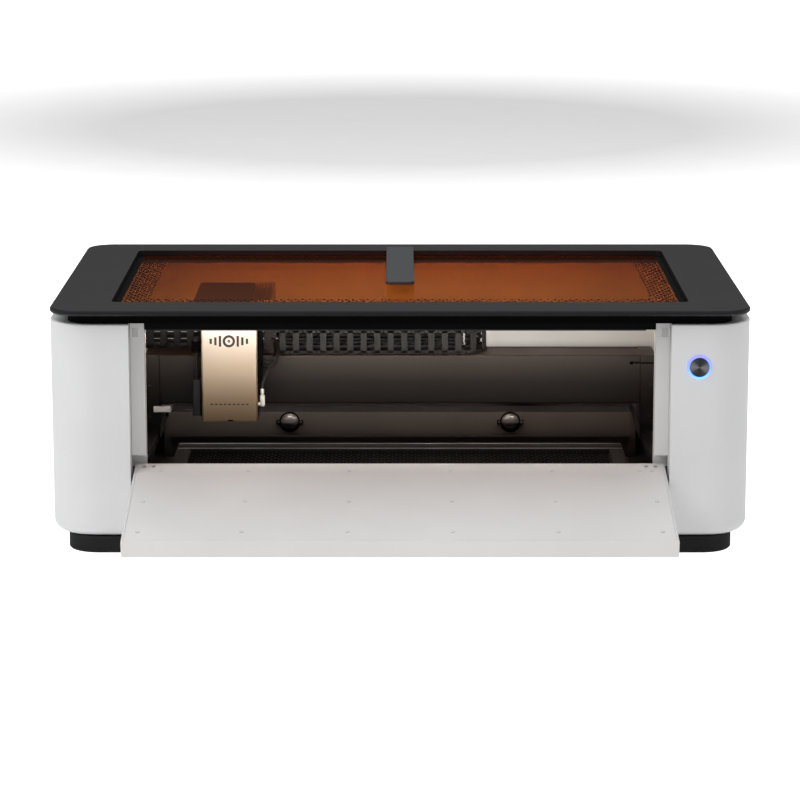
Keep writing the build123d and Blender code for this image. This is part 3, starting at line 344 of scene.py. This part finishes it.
# CAD nodes whose look isn't the one named after their material slot
OWN_LOOK = {"gantry_beam": "beam_painted_shading", "gantry_ends": "beam_painted_shading", "rear_duct": "duct_brown",
            "y_blocks": "rail_black", "top_frame": "ring_frame"}
for part in frame["record"]["subparts"]:
    node = frame["nodes"][part["node"]]
    if not node.material_slots:
        node.data.materials.append(None)
    look = OWN_LOOK.get(part["node"], part["material_slot"])
    for index in range(len(node.material_slots)):
        node.material_slots[index].material = LOOKS[look].mat


# ---------------------------------------------------------------- mesh tools

def block(mesh, low, high, bevel=0.0):
    """A box between two corners, with its edges broken when bevel is given."""
    low, high = Vector(low), Vector(high)
    made = bmesh.ops.create_cube(mesh, size=1.0)["verts"]
    place = Matrix.Translation((low + high) / 2) @ Matrix.Diagonal((*(high - low), 1))
    bmesh.ops.transform(mesh, matrix=place, verts=made)
    if bevel:
        edges = list(dict.fromkeys(e for v in made for e in v.link_edges))
        done = bmesh.ops.bevel(mesh, geom=edges, offset=bevel, segments=1, affect="EDGES")
        kept = [v for v in made if v.is_valid]
        made = list(dict.fromkeys([v for f in done["faces"] for v in f.verts] + kept))
    return made


def prism(mesh, outline, base, axis, height):
    """An outline raised along Z from its x and y, or along Y from its x and z."""
    axis = Vector(axis)
    flat = [Vector((x, 0, y)) if axis.y else Vector((x, y, 0)) for x, y in outline]
    rings = []
    for lift in (0.0, height):
        rings.append([mesh.verts.new(Vector(base) + point + axis * lift) for point in flat])
    mesh.faces.new(rings[0])
    mesh.faces.new(rings[1])
    for i in range(len(outline)):
        j = (i + 1) % len(outline)
        mesh.faces.new((rings[0][i], rings[0][j], rings[1][j], rings[1][i]))
    return rings[0] + rings[1]


def stroke(a, b, width):
    """Outline of a straight stroke between two 2D points."""
    run = Vector((b[0] - a[0], b[1] - a[1]))
    off = Vector((-run.y, run.x)).normalized() * width / 2
    return [(a[0] + off.x, a[1] + off.y), (b[0] + off.x, b[1] + off.y), (b[0] - off.x, b[1] - off.y),
            (a[0] - off.x, a[1] - off.y)]


def turns(count):
    """Angles evenly spaced round a full turn."""
    return [2 * math.pi * i / count for i in range(count)]


def ring_points(radius, sides):
    """Corners of a regular outline round the origin."""
    return [(radius * math.cos(a), radius * math.sin(a)) for a in turns(sides)]


def annulus(mesh, x, z, outer, inner, y, depth, sides):
    """A flat ring that faces the front, in straight sectors."""
    for i in range(sides):
        a, b = 2 * math.pi * i / sides, 2 * math.pi * (i + 1) / sides
        sector = ((outer, a), (outer, b), (inner, b), (inner, a))
        outline = [(x + r * math.cos(t), z + r * math.sin(t)) for r, t in sector]
        prism(mesh, outline, (0, y, 0), TO_FRONT, depth)


def lathe(mesh, profile, base, axis, sides=20):
    """A turned solid: profile is (radius, height) pairs from the axis back to the axis."""
    axis = Vector(axis).normalized()
    across = axis.orthogonal().normalized()
    other = axis.cross(across)
    rings = []
    for radius, height in profile:
        centre = Vector(base) + axis * height
        if radius < 1e-7:
            rings.append([mesh.verts.new(centre)])
        else:
            points = [centre + (across * x + other * y) for x, y in ring_points(radius, sides)]
            rings.append([mesh.verts.new(point) for point in points])
    for low, high in zip(rings, rings[1:]):
        for i in range(sides):
            j = (i + 1) % sides
            if len(low) == 1:
                mesh.faces.new((low[0], high[j], high[i]))
            elif len(high) == 1:
                mesh.faces.new((low[i], low[j], high[0]))
            else:
                mesh.faces.new((low[i], low[j], high[j], high[i]))


def tube(mesh, points, radius, sides=10):
    """A round line through points, with flat ends."""
    rings = []
    for i, point in enumerate(points):
        ahead = points[min(i + 1, len(points) - 1)] - points[max(i - 1, 0)]
        ahead.normalize()
        side = ahead.cross(Vector(UP))
        side = side.normalized() if side.length > 1e-4 else Vector((1, 0, 0))
        top = side.cross(ahead)
        rings.append([mesh.verts.new(point + side * x + top * y) for x, y in ring_points(radius, sides)])
    faces = [mesh.faces.new(rings[0]), mesh.faces.new(rings[-1])]
    for low, high in zip(rings, rings[1:]):
        for i in range(sides):
            j = (i + 1) % sides
            faces.append(mesh.faces.new((low[i], low[j], high[j], high[i])))
    return faces


def cap_screw(mesh, base, axis, radius, height):
    """A domed socket-head screw standing on a face."""
    profile = ((radius, -0.0002), (radius, height * 0.6), (radius * 0.8, height * 0.92),
               (radius * 0.5, height), (radius * 0.46, height * 0.45), (0.0, height * 0.4))
    lathe(mesh, profile, base, axis, 18)


def piece(name, mesh, looks, body, replaces=(), smooth=40.0):
    """Turns a bmesh into a named piece that rides on a body."""
    bmesh.ops.recalc_face_normals(mesh, faces=mesh.faces)
    data = bpy.data.meshes.new(name)
    mesh.to_mesh(data)
    mesh.free()
    for look in looks:
        data.materials.append(LOOKS[look].mat)
    made = bpy.data.objects.new(name, data)
    bpy.context.collection.objects.link(made)
    if smooth:
        data.polygons.foreach_set("use_smooth", [True] * len(data.polygons))
        data.set_sharp_from_angle(angle=math.radians(smooth))
    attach(made, body)
    if replaces:
        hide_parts(*replaces)
    return made


# ---------------------------------------------------------------- window print

glass_low, glass_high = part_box("lid_glass")
pane_top = glass_high.z
LAP = 10 * MM  # the pane is bonded under the frame this far on each side
win_left, win_front = glass_low.x + LAP, glass_low.y + LAP
win_right, win_back = glass_high.x - LAP, glass_high.y - LAP
PRINT = 0.12 * MM  # thickness of the ink
SIDE_BORDER, REAR_BORDER, FRONT_BORDER = 8.0 * MM, 3.0 * MM, 0.8 * MM
inner_left, inner_right = win_left + SIDE_BORDER, win_right - SIDE_BORDER
mesh = bmesh.new()
for low, high in (((win_left, win_front), (inner_left, win_back)),
                  ((inner_right, win_front), (win_right, win_back)),
                  ((inner_left, win_front), (inner_right, win_front + FRONT_BORDER)),
                  ((inner_left, win_back - REAR_BORDER), (inner_right, win_back))):
    block(mesh, (*low, pane_top), (*high, pane_top + PRINT))

DOT_X, DOT_Y = 4.0 * MM, 9.0 * MM  # steps between staggered columns and rows of long dots
SIDE_COLUMNS, FRONT_ROWS, REAR_ROWS = 7, 6, 2
columns = int((win_right - win_left - 2 * SIDE_BORDER) / DOT_X) - 1
rows = int((win_back - win_front - 8 * MM) / DOT_Y)
first = (win_left + win_right) / 2 - (columns - 1) / 2 * DOT_X
for column in range(columns):
    from_side = min(column, columns - 1 - column)
    for row in range(rows):
        midway = FRONT_ROWS <= row < rows - REAR_ROWS
        if (row + column) % 2 or (midway and from_side >= SIDE_COLUMNS):
            continue
        inward = min(from_side / SIDE_COLUMNS, 0.6) if midway else 0.05
        wide, long = (1.5 - 0.5 * inward) * MM, (4.2 - 1.2 * inward) * MM
        x, y = first + column * DOT_X, win_front + 5 * MM + row * DOT_Y
        oval = [(x + wide * math.cos(a), y + long * math.sin(a)) for a in turns(10)]
        prism(mesh, oval, (0, 0, pane_top), UP, PRINT)
piece("window_print", mesh, ["black_plastic"], "lid", smooth=None)

# ---------------------------------------------------------------- honeycomb bed

bed_low, bed_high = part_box("bed_slats")
CELL, WALL, RIM = 9.0 * MM, 0.7 * MM, 1.2 * MM  # a cell across its flats, its wall, the strip all round
side_length = CELL / math.sqrt(3)
mesh = bmesh.new()


def in_bed(x, y):
    """Whether a plan point lies in the bed's opening."""
    return bed_low.x <= x <= bed_high.x and bed_low.y <= y <= bed_high.y


for row in range(int((bed_high.y - bed_low.y) / (1.5 * side_length)) + 1):
    for col in range(int((bed_high.x - bed_low.x) / CELL) + 1):
        cx = bed_low.x + (col + (0.5 if row % 2 else 0.0)) * CELL
        cy = bed_low.y + row * 1.5 * side_length
        corner = [(cx + side_length * math.cos(a), cy + side_length * math.sin(a))
                  for a in (math.radians(degrees) for degrees in (-90, -30, 30, 90))]
        for a, b in zip(corner, corner[1:]):
            if in_bed(*a) and in_bed(*b):
                prism(mesh, stroke(a, b, WALL), (0, 0, bed_low.z), UP, bed_high.z - bed_low.z)
for low, high in (((bed_low.x, bed_low.y), (bed_high.x, bed_low.y + RIM)),
                  ((bed_low.x, bed_high.y - RIM), (bed_high.x, bed_high.y)),
                  ((bed_low.x, bed_low.y), (bed_low.x + RIM, bed_high.y)),
                  ((bed_high.x - RIM, bed_low.y), (bed_high.x, bed_high.y))):
    block(mesh, (*low, bed_low.z), (*high, bed_high.z))
piece("bed_honeycomb", mesh, ["bed_grid"], "chassis", ["bed_slats"], smooth=None)

# ---------------------------------------------------------------- drag chain

front_low, front_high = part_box("chain_front_run")
rear_low, rear_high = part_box("chain_rear_run")
bend_low, bend_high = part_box("chain_bend")
LINK = 15.5 * MM  # pitch
THICK = front_high.y - front_low.y
TALL = front_high.z - front_low.z
CHAIN_MID = (front_low.z + front_high.z) / 2
PLATE, LAYER, BOSS = 1.7 * MM, 1.75 * MM, 0.35 * MM  # a cheek, the step between lapped cheeks, a pin's head
# Height, radius and offset of each cable in mm
CABLES = ((6.6, 2.0, 0.8), (2.4, 1.7, -1.2), (-1.6, 1.9, 1.4), (-6.4, 2.3, -0.4))


def cheek(outward):
    """Plan outline of a link's side plate, with one rounded end that laps over the next link."""
    half, corner = THICK / 2, 0.6 * MM
    low, nose = -LINK / 2 + 0.35 * MM, LINK / 2 + 1.2 * MM - 3.5 * MM
    points = [(low, -half + corner), (low + corner, -half), (nose, -half)]
    points += [(nose + 5.2 * MM * math.sin(math.radians(a)), -half * math.cos(math.radians(a)))
               for a in range(20, 180, 20)]
    points += [(nose, half), (low + corner, half), (low, half - corner)]
    return [(outward * x, y) for x, y in points]


def link(mesh, matrix, shrink=1.0):
    """One link: lapped cheeks above and below, a crossbar on each face, and its pins' heads."""
    made = []
    half_tall, half_thick = TALL / 2 - 0.15 * MM, THICK / 2
    for end in SIDES:
        for layer, outward in ((0.0, 1), (LAYER, -1)):
            low = half_tall - BOSS - layer - PLATE
            made += prism(mesh, cheek(outward), (0, 0, low if end > 0 else -low - PLATE), UP, PLATE)
        head = half_tall - BOSS if end > 0 else -half_tall
        made += prism(mesh, ring_points(2.6 * MM, 14), (LINK / 2 - 1.2 * MM, 0, head), UP, BOSS)
    for face in SIDES:
        near, far = sorted((face * (half_thick - 2.3 * MM), face * half_thick))
        made += block(mesh, (-3.85 * MM, near, -half_tall + 0.5 * MM),
                      (3.85 * MM, far, half_tall - 0.5 * MM), 0.45 * MM)
    made = [v for v in made if v.is_valid]
    bmesh.ops.transform(mesh, matrix=matrix @ Matrix.Diagonal((1, shrink, shrink, 1)), verts=made)


def cable(mesh, points, radius):
    """A cable in the second of a piece's materials."""
    for face in tube(mesh, points, radius):
        face.material_index = 1


def straight_chain(name, x_low, x_high, depth, body, replaces=(), shrink=1.0):
    """A run of whole links back from x_high, with its cables, kept within its length."""
    mesh = bmesh.new()
    for i in range(int(round((x_high - x_low) / LINK))):
        link(mesh, Matrix.Translation((x_high - (i + 0.5) * LINK, depth, CHAIN_MID)), shrink)
    ends = (x_low + 2.2 * MM, x_high - 2.2 * MM)
    for height, radius, offset in CABLES:
        line = [Vector((x, depth + offset * MM, CHAIN_MID + height * MM)) for x in ends]
        cable(mesh, line, radius * MM * shrink)
    for vert in mesh.verts:
        vert.co.x = min(max(vert.co.x, x_low), x_high)
    return piece(name, mesh, ["chain_plastic", "cable_black"], body, replaces)


front_depth = (front_low.y + front_high.y) / 2
rear_depth = (rear_low.y + rear_high.y) / 2
front = straight_chain("chain_front", front_low.x, front_high.x, front_depth, "carriage",
                       ["chain_front_run"])
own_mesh(front)
spare = straight_chain("chain_front_spare", front_high.x - 4 * LINK, front_high.x, front_depth, "chain_bend",
                       shrink=0.97)
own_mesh(spare)
straight_chain("chain_rear", rear_low.x, rear_low.x + 22 * LINK, rear_depth, "gantry", ["chain_rear_run"])
straight_chain("chain_rear_travel", rear_high.x - 16 * LINK, rear_high.x, rear_depth, "chain_bend",
               shrink=0.97)

mesh = bmesh.new()
bend_centre = Vector((bend_low.x, (front_depth + rear_depth) / 2, CHAIN_MID))
bend_radius = (rear_depth - front_depth) / 2
for i in range(4):
    angle = math.radians(-90 + 45 * (i + 0.5))
    spin = Matrix.Rotation(angle + math.pi / 2, 4, "Z")
    link(mesh, Matrix.Translation(bend_centre) @ spin @ Matrix.Translation((0, -bend_radius, 0)), 0.985)
for height, radius, offset in CABLES:
    reach = bend_radius - offset * MM
    cable(mesh, [bend_centre + Vector((reach * math.cos(a), reach * math.sin(a), height * MM))
                 for a in (math.radians(-90 + 15 * step) for step in range(13))], radius * MM)
for vert in mesh.verts:
    vert.co.x = max(vert.co.x, bend_low.x)
piece("chain_turn", mesh, ["chain_plastic", "cable_black"], "chain_bend", ["chain_bend"])

# ---------------------------------------------------------------- laser module

cover_low, cover_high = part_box("laser_cover")
face_y = cover_low.y
middle_x = (cover_low.x + cover_high.x) / 2
sign_z, line_z = cover_high.z - 13 * MM, cover_low.z + 19.5 * MM
INK = 0.15 * MM
mesh = bmesh.new()


def bar(a, b, width):
    """A straight printed stroke between two points of the face, from its middle."""
    outline = [(middle_x + x, z) for x, z in stroke(a, b, width)]
    prism(mesh, outline, (0, face_y, 0), TO_FRONT, INK)


annulus(mesh, middle_x, sign_z, 7.0 * MM, 4.2 * MM, face_y, INK, 28)
annulus(mesh, middle_x, sign_z, 1.6 * MM, 0.4 * MM, face_y, INK, 16)
for side in SIDES:
    for step in range(3):
        x, reach = side * (10 + 5.2 * step) * MM, (6.2 - 1.6 * step) * MM
        bar((x, sign_z - reach), (x, sign_z + reach), 2.7 * MM)
for i in range(9):
    x = (-20 + 5 * i) * MM
    bar((x - 1.5 * MM, line_z), (x + 1.5 * MM, line_z), 1.5 * MM)
piece("module_pictogram", mesh, ["ink_grey"], "carriage", smooth=None)

# ---------------------------------------------------------------- gantry ends and X motor

ends_low, ends_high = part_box("gantry_ends")
mesh = bmesh.new()
for side in SIDES:
    for height in (151 * MM, 115 * MM):
        cap_screw(mesh, (side * 287 * MM, ends_low.y + 1.5 * MM, height), TO_FRONT, 1.6 * MM, 1.2 * MM)
piece("gantry_end_screws", mesh, ["motor_black"], "gantry")

# Stepped round case: flange, body and a smaller rear boss, as (radius, distance back) in mm
CASE = ((0, 0), (13.6, 0), (13.6, 2.6), (12.9, 3.2), (11.0, 3.2), (11.0, 13.2), (10.4, 13.8), (8.4, 13.8),
        (8.4, 26.4), (7.0, 27.8), (0, 27.8))
motor_low, motor_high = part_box("x_motor")
motor_x, motor_z = (motor_low.x + motor_high.x) / 2, (motor_low.z + motor_high.z) / 2
mesh = bmesh.new()
lathe(mesh, [(radius * MM, back * MM) for radius, back in CASE], (motor_x, motor_low.y, motor_z), TO_BACK,
      40)
piece("x_motor_case", mesh, ["motor_black"], "gantry", ["x_motor"])

mesh = bmesh.new()
for i in range(4):
    turn = math.radians(45 + 90 * i)
    x, z = motor_x + 4.6 * MM * math.cos(turn), motor_z + 4.6 * MM * math.sin(turn)
    cap_screw(mesh, (x, motor_low.y + CASE[-1][1] * MM, z), TO_BACK, 1.1 * MM, 0.15 * MM)
piece("x_motor_screws", mesh, ["steel"], "gantry")

# Light end block under the beam's left end: a foot across the bracket's front and a tongue back from it
FOOT_LOW, FOOT_HIGH, BEAM_END = 0.1195, 0.1265, 0.263
mesh = bmesh.new()
for outer, front_y, back_y in ((0.283, -3 * MM, -0.1 * MM), (0.2748, -0.2 * MM, 30 * MM)):
    block(mesh, (-outer, ends_low.y + front_y, FOOT_LOW), (-BEAM_END, ends_low.y + back_y, FOOT_HIGH),
          0.5 * MM)
piece("end_block", mesh, ["white_metal"], "gantry")

# The beam's dark slot run on across the right bracket as a black strip, painted shade in place of a cut,
# with the stop at its end
mesh = bmesh.new()
for low, high, bevel in (((0.2752, 0.1758), (0.291, 0.1775), 0.0),
                         ((0.2632, 0.1745), (0.2672, 0.1788), 0.4 * MM)):
    block(mesh, (low[0], ends_low.y - 0.1 * MM, low[1]), (high[0], ends_low.y + 0.5 * MM, high[1]), bevel)
piece("beam_slot_line", mesh, ["black_plastic"], "gantry", smooth=None)

# ---------------------------------------------------------------- edge highlights, rings and screws

# Light strips along the bed frame's rear rail: painted highlights where its two edges catch the light
frame_low, frame_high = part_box("bed_frame")
mesh = bmesh.new()
for edge in (frame_high.y - 1.4 * MM, frame_high.y - 28.6 * MM):
    block(mesh, (frame_low.x + 1 * MM, edge, frame_high.z - 0.05 * MM),
          (frame_high.x - 1 * MM, edge + 1.2 * MM, frame_high.z + 0.35 * MM), 0.1 * MM)
piece("bed_edge_highlights", mesh, ["steel"], "chassis", smooth=None)

# Dark two-eared rings that clamp the sensor domes
DOME_X, DOME_Z = 133.8 * MM, 67 * MM
duct_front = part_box("rear_duct")[0].y + 4 * MM
mesh = bmesh.new()
for side in SIDES:
    centre = side * DOME_X
    annulus(mesh, centre, DOME_Z, 12.6 * MM, 11.0 * MM, duct_front - 1.6 * MM, 0.9 * MM, 32)
    for ear in SIDES:
        block(mesh, (centre + ear * 12.2 * MM, duct_front - 2.3 * MM, DOME_Z - 2.4 * MM),
              (centre + ear * 16.2 * MM, duct_front - 1.5 * MM, DOME_Z + 2.4 * MM), 0.3 * MM)
piece("dome_rings", mesh, ["black_plastic"], "chassis", smooth=None)

mesh = bmesh.new()
for x in (-154 * MM, -144 * MM):
    for z in (190.5 * MM, 209.5 * MM):
        cap_screw(mesh, (x, front_low.y + 0.05 * MM, z), TO_FRONT, 1.5 * MM, 0.9 * MM)
piece("bracket_screws", mesh, ["motor_black"], "carriage")

# ---------------------------------------------------------------- air elbow, hose and cables

# Standing barrel and side outlet, as (radius, height above the table) and (radius, distance left) in mm
BARREL = ((0, 135.4), (2.2, 135.6), (2.9, 136.6), (2.9, 147.6), (2.5, 148.4), (1.4, 148.8), (1.4, 150.2),
          (2.1, 150.5), (2.1, 154.6), (1.7, 155.4), (0, 155.5))
OUTLET = ((0, 0), (2.1, 0.1), (2.1, 5.0), (0, 5.2))
elbow_low, elbow_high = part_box("air_elbow")
elbow_x, elbow_y = elbow_high.x - 5 * MM, (elbow_low.y + elbow_high.y) / 2
mesh = bmesh.new()
for profile, height, axis, sides in ((BARREL, 0, UP, 24), (OUTLET, 138 * MM, TO_LEFT, 20)):
    lathe(mesh, [(r * MM, along * MM) for r, along in profile], (elbow_x, elbow_y, height), axis, sides)
piece("elbow_turned", mesh, ["elbow_white"], "carriage", ["air_elbow"])

# The air hose and the module's three cables, held at both ends, as a radius and points in mm
LINES = ((1.5, ((-155.95, -10, 153), (-155.6, -9, 161), (-153, -4, 169), (-147.5, 5, 179), (-143.5, 16, 187),
                (-142.5, 28, 194), (-144, 40.3, 199))),
         (1.3, ((-156.4, 10, 187), (-150, 9, 185.4), (-143, 11, 187.5), (-139.6, 18, 194), (-141.5, 29, 202),
                (-146, 40.3, 205))),
         (1.3, ((-156.4, 10, 183), (-149, 8, 180.6), (-141.5, 10, 183), (-137.6, 17, 191), (-139.5, 29, 200),
                (-144.5, 40.3, 203))),
         (1.2, ((-156.4, 10, 178.5), (-150, 7, 176.6), (-142.5, 8, 179), (-138.2, 16, 187), (-139, 28, 196),
                (-143, 40.3, 200))))


def curve(points, steps=8):
    """A smooth line through points given in mm."""
    points = [Vector(p) * MM for p in points]
    padded = [2 * points[0] - points[1], *points, 2 * points[-1] - points[-2]]
    line = []
    for p0, p1, p2, p3 in zip(padded, padded[1:], padded[2:], padded[3:]):
        for t in (i / steps for i in range(steps)):
            line.append(0.5 * (2 * p1 + (p2 - p0) * t + (2 * p0 - 5 * p1 + 4 * p2 - p3) * t * t
                               + (3 * p1 - p0 - 3 * p2 + p3) * t ** 3))
    return line + [points[-1]]


mesh = bmesh.new()
for radius, points in LINES:
    tube(mesh, curve(points), radius * MM, 12)
piece("carriage_cables", mesh, ["cable_black"], "carriage", ["carriage_lines"])

# ---------------------------------------------------------------- rear cover's screws

rear_low, rear_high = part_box("rear_cover")
mesh = bmesh.new()
for x in (-288, -150, 50, 288):
    for z in (rear_low.z + 22 * MM, rear_high.z - 14 * MM):
        cap_screw(mesh, (x * MM, rear_high.y, z), TO_BACK, 3.2 * MM, 1.6 * MM)
piece("rear_screws", mesh, ["steel"], "chassis")

# ---------------------------------------------------------------- floor

bpy.ops.mesh.primitive_plane_add(size=40, location=(0, 4, cad_box[0].z))
floor = bpy.context.object
floor.name = "floor"
paper = finish("paper", rgb(238, 238, 238), rgb(244, 244, 244), (0.8, 0.9), 200, 0.00005)
away = paper.add("ShaderNodeVectorMath", {0: paper.place}, operation="LENGTH").outputs["Value"]
seen_directly = paper.add("ShaderNodeLightPath").outputs["Is Camera Ray"]
lift = paper.math("MULTIPLY", seen_directly, paper.remap(away, 0.7, 2.2, 0.0, 0.8))
paper.set(emit=WHITE, emit_power=paper.math("ADD", lift, 0.3))
floor.data.materials.append(paper.mat)


# ---------------------------------------------------------------- light

def softbox(name, place, target, size, power, colour=(1, 1, 1)):
    """A rectangular lamp of so many watts, aimed at a target and out of the camera's sight."""
    data = bpy.data.lights.new(name, "AREA")
    data.shape, data.size, data.size_y = "RECTANGLE", size[0], size[1]
    data.energy, data.color = power, colour
    lamp = bpy.data.objects.new(name, data)
    lamp.location = place
    lamp.rotation_euler = (Vector(target) - Vector(place)).to_track_quat("-Z", "Y").to_euler()
    bpy.context.collection.objects.link(lamp)
    lamp.visible_camera = False


softbox("key", (-2.9, -2.3, 2.9), (0, 0, 0.1), (2.2, 2.2), 66)
softbox("fill", (2.6, -2.6, 2.6), (0, 0, 0.1), (2.2, 2.2), 15)
softbox("top", (0, 0.2, 3.0), (0, 0, 0), (3.5, 3.5), 44)
softbox("left", (-3.0, -0.6, 0.7), (-0.38, -0.1, 0.15), (1.0, 1.6), 1.3)
softbox("right", (3.0, -0.8, 0.7), (0.38, -0.1, 0.15), (1.0, 1.6), 1.2)
softbox("behind", (0, 3.4, 1.7), (0, 0, 0.2), (3.0, 1.2), 3)

# The LED strip's own light, and a soft wash on the chamber's rear wall
strip_low, strip_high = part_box("led_strip")
strip_x, wall_y = (strip_low.x + strip_high.x) / 2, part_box("chamber_walls")[1].y
aim_z = strip_low.z - 0.06
softbox("strip", (strip_x, strip_high.y, strip_low.z - 1.5 * MM), (strip_x, strip_high.y + 0.3, aim_z),
        (strip_high.x - strip_low.x, 9 * MM), 0.7, (1.0, 0.93, 0.85))
softbox("chamber", (0, wall_y - 0.13, strip_low.z - 1 * MM), (0, wall_y, aim_z), (0.56, 0.02), 0.62,
        (0.95, 0.99, 1.0))

# The world: white where the camera sees it, and a grey that lightens upwards for everything else
BACKDROP, HORIZON, ZENITH = 1.1, 0.06, 0.5
world = bpy.data.worlds.new("studio")
bpy.context.scene.world = world
world.use_nodes = True
nodes, links = world.node_tree.nodes, world.node_tree.links
nodes.clear()
output, where, parts, climb = (nodes.new("ShaderNode" + kind) for kind in (
    "OutputWorld", "TexCoord", "SeparateXYZ", "MapRange"))
around, seen, ray, pick = (nodes.new("ShaderNode" + kind) for kind in (
    "Background", "Background", "LightPath", "MixShader"))
seen.inputs[0].default_value, seen.inputs[1].default_value = WHITE, BACKDROP
for socket, value in zip(climb.inputs[1:5], (0.0, 0.8, HORIZON, ZENITH)):
    socket.default_value = value
for source, target in ((where.outputs["Generated"], parts.inputs[0]), (parts.outputs[2], climb.inputs[0]),
                       (climb.outputs[0], around.inputs[1]), (ray.outputs["Is Camera Ray"], pick.inputs[0]),
                       (around.outputs[0], pick.inputs[1]), (seen.outputs[0], pick.inputs[2]),
                       (pick.outputs[0], output.inputs[0])):
    links.new(source, target)

# ---------------------------------------------------------------- camera

TILT = math.radians(11.46)
camera = bpy.data.cameras.new("camera")
camera.lens, camera.sensor_width = 139.5, 36.0
camera.clip_start, camera.clip_end = 0.05, 60.0
eye = bpy.data.objects.new("camera", camera)
eye.location = (0.0, -3.4541, 0.8407)
eye.rotation_euler = (math.pi / 2 - TILT, 0.0, 0.0)
bpy.context.collection.objects.link(eye)
bpy.context.scene.camera = eye
bpy.context.scene.view_settings.view_transform = "Standard"
